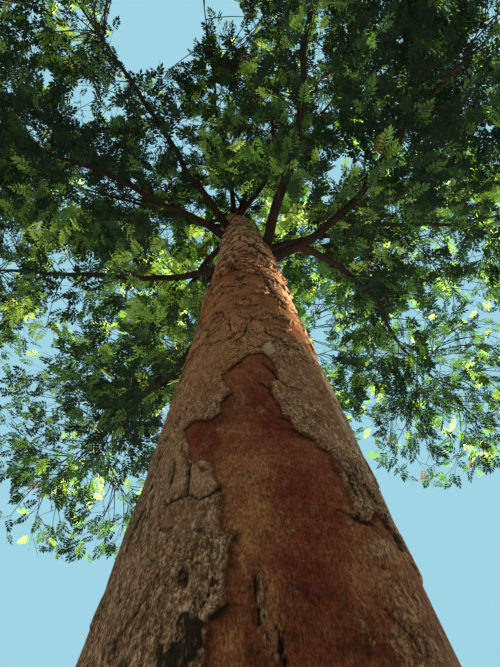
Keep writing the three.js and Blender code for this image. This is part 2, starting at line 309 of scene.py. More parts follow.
@dataclass(frozen=True)
class Shoots:
    """Thin limbs, one row each: where they start, bend and end, and the face that they grow in."""

    starts: Array
    bends: Array
    ends: Array
    faces: Array

    def __add__(self, other: "Shoots") -> "Shoots":
        """These limbs and others."""
        mine, theirs = vars(self).values(), vars(other).values()
        return Shoots(*(np.concatenate(pair) for pair in zip(mine, theirs)))

    def only(self, kept: Array) -> "Shoots":
        """Some of these limbs, by their places or by a yes or no for each."""
        return Shoots(*(rows[kept] for rows in vars(self).values()))

    def places(self, share: Array) -> tuple[Array, Array]:
        """Points along each limb, by (1 - t)^2 start + 2t(1 - t) bend + t^2 end, and the way there.

        Args:
            share: Shares of the way, t.

        Returns:
            The points and the unit ways, both (limbs, shares, 3).
        """
        way = share[None, :, None]
        starts, bends, ends = (rows[:, None] for rows in (self.starts, self.bends, self.ends))
        points = starts * (1 - way) ** 2 + 2 * bends * way * (1 - way) + ends * way**2
        return points, unit((bends - starts) * (1 - way) + (ends - bends) * way)

    def tubes(self, radius: float, sides: int, steps: int) -> Shell:
        """The limbs as pointed tubes, with a ring of corners at every step.

        The radius falls from the foot with the root of what is left of the length, down to a point.

        Args:
            radius: The radius at the foot.
            sides: Corners in each ring.
            steps: Rings, with the tip's point as the last step.

        Returns:
            One shell with all the limbs.
        """
        share = np.arange(steps) / steps
        centre, along = self.places(share)
        level, upright = cross_sections(along)
        angle = TAU * np.arange(sides) / sides
        ring = level[:, :, None] * np.cos(angle)[:, None] + upright[:, :, None] * np.sin(angle)[:, None]
        rings = centre[:, :, None] + (radius * np.sqrt(1 - share))[:, None, None] * ring
        points = np.concatenate([rings.reshape(len(centre), -1, 3), self.ends[:, None]], axis=1)
        edge = np.arange(sides)
        last = (steps - 1) * sides
        tip = np.stack([last + edge, last + (edge + 1) % sides, np.full(sides, steps * sides)], -1)
        foot = np.stack([np.zeros(sides - 2, int), edge[2:], edge[1:-1]], -1)
        one = np.concatenate([walls(steps, sides), tip, foot])
        triangles = one[None] + (np.arange(len(centre)) * (steps * sides + 1))[:, None, None]
        return Shell(points.reshape(-1, 3), triangles.reshape(-1, 3))


# The tree's plan, as in its source


@dataclass(frozen=True)
class Mass:
    """The space that one mass of foliage grows in, a flattened ball out from the trunk."""

    name: str
    azimuth: float
    out: float
    height: float
    across: float
    up: float

    @property
    def node(self) -> str:
        """The mass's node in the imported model."""
        return f"foliage_{self.name}"

    @property
    def centre(self) -> Array:
        """The middle of the space."""
        turn = math.radians(self.azimuth)
        return np.array([self.out * math.cos(turn), self.out * math.sin(turn), self.height])

    @property
    def size(self) -> Array:
        """Its half sizes."""
        return np.array([self.across, self.across, self.up])

    def depth(self, points: Array) -> Array:
        """Where points lie in it: 0 at its centre, 1 on its outer surface."""
        return np.linalg.norm((points - self.centre) / self.size, axis=-1)


@dataclass(frozen=True)
class Bough:
    """A limb from the trunk, or from another bough, to the edge of its mass."""

    to: str
    parent: str
    at: float
    radius: float
    rise: float
    swing: float

    @property
    def node(self) -> str:
        """The bough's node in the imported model."""
        return f"bough_{self.to}"

    @property
    def seed(self) -> int:
        """Which random numbers its bark and its crooks have."""
        return 200 + 10 * BOUGHS.index(self)


TRUNK = "trunk"
GIRTH_HEIGHT = 2.1
MASSES = (
    Mass("lower_east", 0, 3.05, 7.10, 1.35, 1.00),
    Mass("lower_north_east", 42, 2.90, 7.35, 1.35, 1.00),
    Mass("lower_north", 88, 2.75, 7.70, 1.35, 1.00),
    Mass("lower_north_west", 128, 3.05, 6.95, 1.35, 1.05),
    Mass("lower_west", 175, 3.05, 6.95, 1.30, 0.95),
    Mass("lower_south_west", 205, 3.05, 7.25, 1.30, 1.00),
    Mass("lower_south", 236, 2.95, 7.50, 1.30, 1.00),
    Mass("lower_south_east", 290, 3.00, 7.50, 1.35, 1.00),
    Mass("lower_east_south", 326, 3.00, 7.15, 1.30, 0.95),
    Mass("inner_east", 22, 1.50, 7.40, 1.05, 0.80),
    Mass("inner_north", 112, 1.50, 7.35, 1.05, 0.80),
    Mass("inner_west", 195, 1.50, 7.40, 1.05, 0.80),
    Mass("inner_south", 282, 1.55, 7.60, 1.05, 0.80),
    Mass("upper_east", 12, 2.40, 8.65, 1.35, 1.00),
    Mass("upper_north_east", 70, 2.30, 8.85, 1.35, 1.00),
    Mass("upper_north_west", 130, 2.35, 8.70, 1.35, 1.00),
    Mass("upper_west", 192, 2.40, 8.60, 1.35, 1.00),
    Mass("upper_south", 262, 2.35, 8.85, 1.35, 1.00),
    Mass("upper_south_east", 312, 2.40, 8.70, 1.35, 1.00),
    Mass("top_east", 45, 1.25, 9.85, 1.20, 0.95),
    Mass("top_west", 165, 1.25, 9.80, 1.20, 0.95),
    Mass("top_south", 285, 1.25, 9.90, 1.20, 0.95),
    Mass("summit", 90, 0.12, 10.40, 1.10, 0.90),
)
BOUGHS = (
    Bough("lower_east_south", TRUNK, 5.15, 0.036, 24, 34),
    Bough("lower_north_east", "lower_east_south", 0.16, 0.026, 22, -24),
    Bough("lower_east", TRUNK, 5.50, 0.028, 30, -10),
    Bough("inner_east", "lower_east", 0.45, 0.017, 60, 18),
    Bough("lower_south_east", TRUNK, 4.88, 0.040, 64, 46),
    Bough("inner_south", "lower_south_east", 0.38, 0.020, 60, -34),
    Bough("lower_north", TRUNK, 5.60, 0.031, 42, 16),
    Bough("inner_north", "lower_north", 0.36, 0.017, 64, -22),
    Bough("lower_north_west", TRUNK, 4.60, 0.032, 33, -8),
    Bough("lower_west", TRUNK, 5.10, 0.027, 30, -18),
    Bough("lower_south_west", TRUNK, 5.70, 0.030, 34, 10),
    Bough("inner_west", "lower_south_west", 0.34, 0.017, 60, -24),
    Bough("lower_south", TRUNK, 6.05, 0.032, 36, -10),
    Bough("summit", TRUNK, 6.75, 0.112, 85, 120),
    Bough("upper_east", TRUNK, 6.05, 0.032, 54, 20),
    Bough("upper_north_east", "summit", 0.08, 0.030, 44, -22),
    Bough("upper_north_west", TRUNK, 6.35, 0.032, 52, 24),
    Bough("upper_west", "summit", 0.12, 0.030, 46, -20),
    Bough("upper_south", "summit", 0.20, 0.029, 46, 10),
    Bough("upper_south_east", "summit", 0.06, 0.030, 46, -24),
    Bough("top_east", "summit", 0.42, 0.028, 58, 22),
    Bough("top_west", "summit", 0.50, 0.027, 58, -22),
    Bough("top_south", "summit", 0.34, 0.028, 58, 20),
)


def bough_to(mass: str) -> Bough:
    """The bough that leads to a mass, by the mass's name."""
    return next(bough for bough in BOUGHS if bough.to == mass)


@dataclass(frozen=True)
class TrunkPlan:
    """The trunk's height and radius, with the ridges of its root flare and the lean of its top."""

    height: float = 6.8
    radius_at_ground: float = 0.252
    taper: float = 0.0126
    top_narrowing: float = 0.010
    first_bough_height: float = 4.7
    lean_start: float = 4.9
    lean: float = -0.080
    flare_radius: float = 0.2
    flare_height: float = 1.1
    root_ridges: int = 6
    ridge_share: float = 0.34
    ridge_crowding: float = 1.3

    def radius(self, height: Array, angle: Array) -> Array:
        """The radius: a straight taper, plus a flare that fades upwards in ridges.

        Args:
            height: Heights up the trunk.
            angle: Angles round it.

        Returns:
            The radius at each.
        """
        climbed = (height - self.first_bough_height) / (self.height - self.first_bough_height)
        stem = self.radius_at_ground - self.taper * height - self.top_narrowing * np.maximum(climbed, 0)
        crowded = self.root_ridges * angle + self.ridge_crowding * np.sin(angle)
        ridges = 1 + self.ridge_share * np.cos(crowded)
        return stem + self.flare_radius * np.exp(-height / self.flare_height) * ridges

    def axis(self, height: Array) -> Array:
        """The middle of the trunk at a height: upright, then a parabola off along X."""
        climbed = np.maximum(height - self.lean_start, 0) / (self.height - self.lean_start)
        return np.stack([self.lean * climbed**2, np.zeros_like(climbed), height], -1)


@dataclass
class CrownPlan:
    """The curves of the boughs, stems and twigs, by the rule of the tree's source."""

    rise_share: float = 0.34
    entry_share: float = 0.22
    end_depth: float = 0.9
    joint_gap: float = 0.0003
    margin: float = 0.03
    stem_ahead: float = 0.3
    stem_up: float = 0.25
    stem_steps: int = 3
    twigs: int = 6
    first_seed: int = 1000
    twig_scatter: float = 0.4
    least_vigour: float = 0.9
    vigour_spread: float = 0.2
    twig_across: float = 0.56
    twig_up: float = 0.76
    twig_bow: float = 0.12
    twig_roots: Pair = (0.2, 0.95)
    cut_step: float = 0.1
    least_cut: float = 0.4
    shortest_twig: float = 0.26
    trunk: TrunkPlan = TrunkPlan()
    boughs: dict[str, Bezier] = field(default_factory=dict)

    def __post_init__(self) -> None:
        """Works out each bough's curve, parents first."""
        masses = {mass.name: mass for mass in MASSES}
        for bough in BOUGHS:
            self.boughs[bough.to] = self.bough_curve(bough, masses[bough.to])

    def bough_curve(self, bough: Bough, mass: Mass) -> Bezier:
        """The curve of a bough: off its parent at its rise and swing, and into its mass head on.

        Args:
            bough: The bough.
            mass: The mass that it leads to.

        Returns:
            A cubic curve.
        """
        start = self.trunk.axis(np.array(bough.at))
        if bough.parent != TRUNK:
            start = self.boughs[bough.parent].at(bough.at)
        ahead = unit((mass.centre - start) * (1, 1, 0))
        rise, swing = math.radians(bough.rise), math.radians(bough.swing)
        heading = ahead * math.cos(swing) + np.cross(UP, ahead) * math.sin(swing)
        first = heading * math.cos(rise) + UP * math.sin(rise)
        end = mass.centre + (start - mass.centre) * self.end_depth / mass.depth(start)
        length = np.linalg.norm(end - start)
        last = unit(mass.centre - end)
        bends = (start + first * self.rise_share * length, end - last * self.entry_share * length)
        return Bezier(np.array([start, *bends, end]))

    def owns(self, mass: Mass, points: Array) -> Array:
        """Whether points are in a mass's own space: inside it, and nearer to it than to the others.

        Args:
            mass: The mass.
            points: The points.

        Returns:
            True or false for each.
        """
        depth = mass.depth(points)
        inside = depth <= 1
        for other in MASSES:
            if other != mass:
                inside &= other.depth(points) > depth + self.margin
        return inside

    def stem(self, mass: Mass) -> Bezier:
        """The stem of a mass: on from its bough's tip, through the centre, towards the far side.

        Args:
            mass: The mass.

        Returns:
            A quadratic curve.
        """
        bough = self.boughs[mass.name]
        ahead = bough.along(1.0)
        start = bough.at(1.0) + ahead * self.joint_gap
        end = mass.centre + ahead * self.stem_ahead * mass.across + UP * self.stem_up * mass.up
        bend = start + ahead * np.linalg.norm(end - start) / 2
        return Bezier(np.array([start, bend, end]))

    def twig_curves(self, mass: Mass, stem: Bezier) -> list[Bezier]:
        """The twigs of a mass. Their ends lie on a golden spiral, and those that point forward leave late.

        Args:
            mass: The mass.
            stem: Its stem.

        Returns:
            A quadratic curve for each twig that is long enough.
        """
        random = Seeded(self.first_seed + MASSES.index(mass))
        phase = TAU * random()
        axis = unit(stem.at(1.0) - stem.at(0.0))
        curves = []
        for place in range(self.twigs):
            level = 1 - 2 * (place + 0.5) / self.twigs
            turn = phase + place * GOLDEN_ANGLE + self.twig_scatter * (random() - 0.5)
            flat = math.sqrt(1 - level * level)
            towards = np.array([flat * math.cos(turn), flat * math.sin(turn), level])
            vigour = self.least_vigour + self.vigour_spread * random()
            low, high = self.twig_roots
            root = stem.chord(self.stem_steps, low + (high - low) * (0.5 + 0.5 * towards @ axis))
            reach = vigour * np.array([self.twig_across, self.twig_across, self.twig_up])
            wanted = mass.centre + reach * mass.size * towards
            share = 1.0
            while share > self.least_cut and not self.owns(mass, root + (wanted - root) * share):
                share -= self.cut_step
            end = root + (wanted - root) * share
            length = np.linalg.norm(end - root)
            if length >= self.shortest_twig:
                bend = (root + end) / 2 + axis * self.twig_bow * length
                curves.append(Bezier(np.array([root, bend, end])))
        return curves


# The photograph's view


def placed(name: str, data: bpy.types.ID, axes: Sequence[Array], place: Sequence[float]) -> Piece:
    """Puts a camera or a lamp in the scene.

    Args:
        name: Its name.
        data: What it is.
        axes: The directions of its own X, Y and Z.
        place: Where it stands.

    Returns:
        The object.
    """
    thing = bpy.data.objects.new(name, data)
    turn = np.eye(4)
    turn[:3, :3], turn[:3, 3] = np.stack(axes, -1), place
    thing.matrix_world = Matrix(turn.tolist())
    bpy.context.scene.collection.objects.link(thing)
    return thing


@dataclass(frozen=True)
class Viewpoint:
    """Where the photograph was taken from, worked out from where upright lines meet in it."""

    frame_width: float = 500.0
    frame_height: float = 667.0
    focal_pixels: float = 540.0
    zenith_x: float = 240.0
    zenith_y: float = 155.0
    eye: tuple[float, float, float] = (0.0, -0.70, 1.50)
    sensor: float = 36.0

    def axes(self) -> Array:
        """The camera's own directions.

        The direction of the zenith is read off its pixel. What is left of the line of sight, square
        to it, points at +Y, and the level direction square to both is +X.

        Returns:
            Right, up and forward, as rows.
        """
        right = (self.zenith_x - self.frame_width / 2) / self.focal_pixels
        up = -(self.zenith_y - self.frame_height / 2) / self.focal_pixels
        zenith = unit(np.array([right, up, 1.0]))
        north = unit(np.array([0.0, 0.0, 1.0]) - zenith * zenith[2])
        east = np.cross(north, zenith)
        east *= np.sign(east[0])
        return np.stack([east, north, zenith], -1)

    def pixels(self, points: Array) -> Array:
        """Where points show in the photograph's frame. Points beside the camera are put far outside.

        Args:
            points: The points.

        Returns:
            Their pixels, across and down.
        """
        seen = (points - np.array(self.eye)) @ self.axes().T
        depth = np.maximum(seen[..., 2], 1e-3)
        across = self.frame_width / 2 + self.focal_pixels * seen[..., 0] / depth
        down = self.frame_height / 2 - self.focal_pixels * seen[..., 1] / depth
        return np.stack([across, down], -1)

    def on_trunk(self, spots: Sequence[Pair], trunk: "TrunkPlan") -> Array:
        """Where the lines of sight through pixels first meet the trunk.

        Args:
            spots: Pixels of the photograph.
            trunk: The trunk's plan.

        Returns:
            For each, the angle in degrees from the line that faces the camera, and the height.
        """
        spots = np.asarray(spots, float)
        across = (spots[:, 0] - self.frame_width / 2) / self.focal_pixels
        up = (self.frame_height / 2 - spots[:, 1]) / self.focal_pixels
        ways = unit(np.stack([across, up, np.ones(len(spots))], -1) @ self.axes())
        points = np.array(self.eye) + ways[:, None] * np.linspace(0.2, 4.5, 4300)[:, None]
        angle = np.arctan2(points[..., 1], points[..., 0])
        gap = np.hypot(points[..., 0], points[..., 1]) - trunk.radius(points[..., 2], angle)
        met = np.where((gap < 0).any(axis=1), np.argmax(gap < 0, axis=1), np.argmin(gap, axis=1))
        row = np.arange(len(spots))
        return np.stack([np.degrees(angle[row, met]) + 90, points[row, met, 2]], -1)

    def camera(self) -> None:
        """Makes the scene's camera."""
        lens = bpy.data.cameras.new("camera")
        lens.sensor_width = self.sensor
        lens.lens = self.focal_pixels / self.frame_height * self.sensor
        lens.clip_start, lens.clip_end = 0.02, 200.0
        right, up, forward = self.axes()
        bpy.context.scene.camera = placed("camera", lens, (right, up, -forward), self.eye)


@dataclass(frozen=True)
class Patch:
    """A part of the photograph where the crown is open, sunlit or shaded, or the bark is stained.

    It is given by its middle and half sizes in the photograph's pixels, and by how strong it is.
    """

    x: float
    y: float
    half_width: float
    half_height: float
    strength: float = 0.9

    def share(self, seen: Array) -> Array:
        """How strongly it acts on places in the photograph: full in its middle, none past its rim."""
        away = np.hypot((seen[:, 0] - self.x) / self.half_width, (seen[:, 1] - self.y) / self.half_height)
        return self.strength * (1 - smooth(away, 0.55, 1.15))


Patches = tuple[Patch, ...]


def patches(*rows: Sequence[float]) -> Patches:
    """Patches from rows of their middle's x and y, their half sizes and their strength."""
    return tuple(Patch(*row) for row in rows)


def strongest(marks: "Sequence[Patch | DarkLine]", seen: Array) -> Array:
    """The strongest of some patches or dark lines at each of some places in the photograph."""
    return np.max([mark.share(seen) for mark in marks], axis=0)


# Finishes


class Wire:
    """A value in a material's nodes, on which sums are written as in plain Python."""

    def __init__(self, bench: "Bench", socket: bpy.types.NodeSocket) -> None:
        """Takes a node's output on a bench."""
        self.bench = bench
        self.socket = socket

    def sum(self, operation: str, *values: "Wire | float") -> "Wire":
        """One Math node with this bench's nodes and those values."""
        sockets = dict(enumerate(values))
        return self.bench.node("ShaderNodeMath", {"operation": operation}, sockets)

    def __add__(self, other: "Wire | float") -> "Wire":
        """This plus another."""
        return self.sum("ADD", self, other)

    def __sub__(self, other: "Wire | float") -> "Wire":
        """This less another."""
        return self.sum("SUBTRACT", self, other)

    def __rsub__(self, other: float) -> "Wire":
        """A number less this."""
        return self.sum("SUBTRACT", other, self)

    def __mul__(self, other: "Wire | float") -> "Wire":
        """This times another."""
        return self.sum("MULTIPLY", self, other)

    __radd__ = __add__
    __rmul__ = __mul__

    def step(self, low: float, high: float) -> "Wire":
        """A soft step from 0 at low to 1 at high."""
        sockets = {"Value": self, "From Min": low, "From Max": high}
        return self.bench.node("ShaderNodeMapRange", {"interpolation_type": "SMOOTHSTEP"}, sockets)


class Bench:
    """The nodes of one material, or of the sky, and the few kinds that a finish is made of."""

    def __init__(self, name: str, sky: bool = False) -> None:
        """Starts a material, or a sky, with its output alone.

        Args:
            name: Its name.
            sky: Whether it is a sky.
        """
        self.block = bpy.data.worlds.new(name) if sky else bpy.data.materials.new(name)
        self.block.use_nodes = True
        self.tree = self.block.node_tree
        self.tree.nodes.clear()
        self.output = self.tree.nodes.new("ShaderNodeOutputWorld" if sky else "ShaderNodeOutputMaterial")

    def node(self, kind: str, settings: dict, sockets: dict, output: int | str = 0) -> Wire:
        """Makes a node.

        Args:
            kind: The node's type.
            settings: Its own settings, set first.
            sockets: The values or wires of its inputs, by name or number.
            output: Which output is wanted.

        Returns:
            That output.
        """
        node = self.tree.nodes.new(kind)
        for setting, value in settings.items():
            setattr(node, setting, value)
        for name, value in sockets.items():
            if isinstance(value, Wire):
                self.tree.links.new(value.socket, node.inputs[name])
            else:
                node.inputs[name].default_value = value
        return Wire(self, node.outputs[output])

    def place(self) -> Wire:
        """The point on the surface, in the tree's own metres."""
        return self.node("ShaderNodeTexCoord", {}, {}, "Object")

    def stretched(self, place: Wire, scale: Colour) -> Wire:
        """The point with its axes scaled, so that a pattern runs longer one way."""
        return self.node("ShaderNodeMapping", {}, {"Vector": place, "Scale": scale})

    def noise(self, place: Wire, scale: float, detail: float, rough: float = 0.55) -> Wire:
        """Cloudy noise from 0 to 1."""
        sockets = {"Vector": place, "Scale": scale, "Detail": detail, "Roughness": rough}
        return self.node("ShaderNodeTexNoise", {}, sockets, "Fac")

    def measure(self, name: str) -> Wire:
        """One of the measures that the mesh's corners carry."""
        return self.node("ShaderNodeAttribute", {"attribute_name": name}, {}, "Fac")

    def blend(self, share: Wire | float, low: "Wire | Colour", high: "Wire | Colour") -> Wire:
        """A colour between two, by a share."""
        low, high = (colour if isinstance(colour, Wire) else (*colour, 1.0) for colour in (low, high))
        return self.node("ShaderNodeMix", {"data_type": "RGBA"}, {"Factor": share, 6: low, 7: high}, 2)

    def shaded(self, colour: Wire, share: Wire) -> Wire:
        """A colour times a grey share."""
        return self.node("ShaderNodeVectorMath", {"operation": "SCALE"}, {0: colour, "Scale": share})

    def surface(self, sockets: dict) -> Wire:
        """A surface shader with those values on its inputs."""
        return self.node("ShaderNodeBsdfPrincipled", {}, sockets)

    def finished(self, shader: Wire) -> bpy.types.ID:
        """The material or sky with that shader as its surface."""
        self.tree.links.new(shader.socket, self.output.inputs["Surface"])
        return self.block


@dataclass(frozen=True)
class BarkFinish:
    """Scaly bark that has fallen away in places from the red and golden bark under it."""

    name: str
    inner_deep: Colour = (0.045, 0.016, 0.010)
    inner_red: Colour = (0.120, 0.023, 0.012)
    inner_brown: Colour = (0.146, 0.053, 0.021)
    inner_gold: Colour = (0.320, 0.158, 0.062)
    plate_brown: Colour = (0.090, 0.049, 0.023)
    plate_tan: Colour = (0.255, 0.160, 0.080)
    plate_grey: Colour = (0.430, 0.345, 0.225)
    plate_warm: Colour = (0.300, 0.140, 0.055)
    # The dark of cracks and of the painted shadow under plate edges; pits and moss darken towards it too.
    crack: Colour = (0.010, 0.006, 0.004)
    lichen: Colour = (0.360, 0.335, 0.210)
    moss: Colour = (0.024, 0.020, 0.010)
    streak_squash: float = 0.28
    speck_squash: float = 0.55
    grain_depth: float = 0.0009
    roughness: float = 0.88

    def material(self) -> Material:
        """Builds the bark: inner and outer colours, dark cracks and painted shadow, growths, and a fine
        fibrous grain.

        Returns:
            The material.
        """
        bench = Bench(self.name)
        place = bench.place()
        upright = bench.stretched(place, (1.0, 1.0, self.streak_squash))
        measures = ("plate", "crack", "tone", "growth", "red", "gold", "warmth", "calm")
        plate, crack, tone, growth, red, gold, warmth, calm = map(bench.measure, measures)
        streak = bench.noise(upright, 120.0, 6.0, 0.65).step(0.34, 0.66)
        mottle = bench.noise(place, 18.0, 7.0, 0.65).step(0.34, 0.66)
        scales = bench.noise(upright, 90.0, 4.0, 0.7).step(0.36, 0.64)
        short = bench.stretched(place, (1.0, 1.0, self.speck_squash))
        speck = bench.noise(short, 200.0, 5.0, 0.82).step(0.41, 0.59)
        fibre = bench.noise(upright, 480.0, 3.0, 0.7).step(0.38, 0.62)
        inner = bench.blend(red, self.inner_brown, self.inner_red)
        deep = (0.5 * streak + 0.9 * mottle + 0.7 * gold).step(0.75, -0.1) * 0.8
        inner = bench.blend(deep, inner, self.inner_deep)
        golden = (0.5 * streak * fibre + 0.6 * mottle + 0.5 * gold).step(0.35, 1.35)
        inner = bench.blend(golden * (0.75 - 0.55 * red), inner, self.inner_gold)
        inner = bench.shaded(inner, 0.46 + 0.34 * fibre + 0.40 * speck)
        # Plates lighten with their own random tone and with a painted highlight high up.
        outer = bench.blend(0.45 * tone + 0.35 * mottle + 0.2 * scales, self.plate_brown, self.plate_tan)
        pale = (0.4 * streak + 0.7 * speck + 0.25 * scales).step(0.65, 1.3)
        outer = bench.blend(pale * 0.7, outer, self.plate_grey)
        outer = bench.blend(warmth, outer, self.plate_warm)
        shade = 0.34 * fibre + 0.74 * speck + 0.24 * scales + 0.24 * streak
        shade = (1 - calm) * shade + calm * (0.52 + 0.36 * fibre)
        outer = bench.shaded(outer, shade * (0.78 + 0.24 * tone))
        colour = bench.blend(plate, inner, outer)
        pits = (speck + 0.8 * scales).step(0.42, 0.10) * (1 - calm)
        colour = bench.blend(pits * (0.12 + 0.5 * plate), colour, self.crack)
        colour = bench.blend(growth.step(0.1, 0.9) * (0.35 + 0.45 * speck), colour, self.lichen)
        mossy = (0.9 * (0.0 - growth).step(0.0, 1.0) + 0.6 * scales + 0.6 * streak).step(0.95, 1.4)
        mosses = bench.blend(0.5 * speck + 0.5 * streak, self.crack, self.moss)
        colour = bench.blend(mossy * (0.0 - growth).step(0.05, 0.3), colour, mosses)
        # Dark cracks and joints, with painted shadow under lifted plate and flake edges and along the bare
        # zone.
        colour = bench.blend(crack * 0.94, colour, self.crack)
        height = 0.6 * fibre + 0.6 * speck + 0.5 * streak
        bump = {"Height": height, "Distance": self.grain_depth, "Strength": 0.9 - 0.7 * calm}
        relief = bench.node("ShaderNodeBump", {}, bump)
        shine = self.roughness + 0.1 * (0.0 - streak)
        sockets = {"Base Color": colour, "Roughness": shine, "Normal": relief, "Specular IOR Level": 0.04}
        return bench.finished(bench.surface(sockets))


@dataclass(frozen=True)
class LeafTint:
    """One plain colour of leaf, and how much light it lets through."""

    name: str
    face: Colour
    through: Colour
    thinness: float = 0.35
    gloss: float = 0.30
    roughness: float = 0.5

    def material(self) -> Material:
        """Builds the leaf: a soft gloss on its face, mixed with light from behind.

        Returns:
            The material.
        """
        bench = Bench(self.name)
        colour = (*self.face, 1.0)
        sockets = {"Base Color": colour, "Roughness": self.roughness, "Specular IOR Level": self.gloss}
        face = bench.surface(sockets)
        behind = bench.node("ShaderNodeBsdfTranslucent", {}, {"Color": (*self.through, 1.0)})
        sockets = {0: self.thinness, 1: face, 2: behind}
        return bench.finished(bench.node("ShaderNodeMixShader", {}, sockets))


@dataclass(frozen=True)
class TwigFinish:
    """Thin young bark, grey-brown with a faint mottle, as dark as the boughs' bark: painted shade of the
    crown.
    """

    name: str
    dark: Colour = (0.012, 0.009, 0.006)
    light: Colour = (0.034, 0.025, 0.017)

    def material(self) -> Material:
        """Builds the young bark from a single noise.

        Returns:
            The material.
        """
        bench = Bench(self.name)
        mottle = bench.noise(bench.place(), 24.0, 4.0)
        colour = bench.blend(mottle.step(0.3, 0.7), self.dark, self.light)
        relief = bench.node("ShaderNodeBump", {}, {"Height": mottle, "Distance": 0.002, "Strength": 0.6})
        sockets = {"Base Color": colour, "Roughness": 0.8, "Normal": relief, "Specular IOR Level": 0.05}
        return bench.finished(bench.surface(sockets))


class Tint(Enum):
    """The leaf colours, from the deepest shade to the brightest, picked by painted light and shade and by
    chance, and a few that are about to fall.
    """

    DEEP = LeafTint("leaf_deep", (0.005, 0.013, 0.007), (0.012, 0.036, 0.008), 0.18, 0.05)
    DARK = LeafTint("leaf_dark", (0.010, 0.026, 0.011), (0.034, 0.090, 0.014), 0.26, 0.08)
    MIDDLE = LeafTint("leaf_middle", (0.030, 0.072, 0.019), (0.110, 0.250, 0.026), 0.38, 0.16)
    FRESH = LeafTint("leaf_fresh", (0.080, 0.160, 0.030), (0.290, 0.500, 0.050), 0.48)
    BRIGHT = LeafTint("leaf_bright", (0.190, 0.310, 0.060), (0.580, 0.760, 0.130), 0.58)
    RUSSET = LeafTint("leaf_russet", (0.080, 0.040, 0.016), (0.150, 0.080, 0.030), 0.30, 0.10)


# Bark


@dataclass(frozen=True)
class CellPlace:
    """Where points lie among the cells of a field, one number for each point."""

    nearest: Array
    second: Array
    column: Array
    row: Array
    second_column: Array
    second_row: Array
    below: Array
    drop: Array

    @property
    def edge(self) -> Array:
        """How far a point is from its cell's edge: 0 on it, growing inwards."""
        return self.second - self.nearest


@dataclass(frozen=True)
class Cells:
    """Irregular cells round a limb. A point belongs to the nearest of the scattered centres."""

    around: int
    tall: float
    scatter: float
    seed: int

    def centre(self, column: Array, row: Array) -> tuple[Array, Array]:
        """A cell's centre: its lattice square's middle, moved at random.

        Args:
            column: The square's column.
            row: Its row.

        Returns:
            The place across and along, in cell widths and heights.
        """
        wrapped = column % self.around
        across = column + 0.5 + self.scatter * (lattice(wrapped, row, self.seed) - 0.5)
        along = row + 0.5 + self.scatter * (lattice(wrapped, row, self.seed + 7) - 0.5)
        return across, along

    def find(self, u: Array, v: Array) -> CellPlace:
        """The nearest and second nearest centres, searched over the three by three squares round a point.

        Args:
            u: Place round the limb, in cell widths.
            v: Place along the limb, in cell heights.

        Returns:
            The distances to both centres, their squares, how far the point is below the nearest, and
            how far the second centre is below the nearest.
        """
        base_column, base_row = np.floor(u).astype(np.int64), np.floor(v).astype(np.int64)
        first = np.stack([np.full(u.shape, 9.0), base_column, base_row, np.zeros(u.shape)])
        second = first
        for beside in (-1, 0, 1):
            for above in (-1, 0, 1):
                column, row = base_column + beside, base_row + above
                across, along = self.centre(column, row)
                found = np.stack([np.hypot(across - u, along - v), column, row, along])
                second = np.where(found[0] < second[0], found, second)
                closer = found[0] < first[0]
                first, second = np.where(closer, found, first), np.where(closer, first, second)
        column, row, beside_column, beside_row = np.concatenate([first[1:3], second[1:3]]).astype(np.int64)
        places = (column % self.around, row, beside_column % self.around, beside_row)
        return CellPlace(first[0], second[0], *places, first[3] - v, first[3] - second[3])

    def chance(self, column: Array, row: Array, which: int) -> Array:
        """A random number of a cell's own."""
        return lattice(column, row, self.seed + 50 + which)


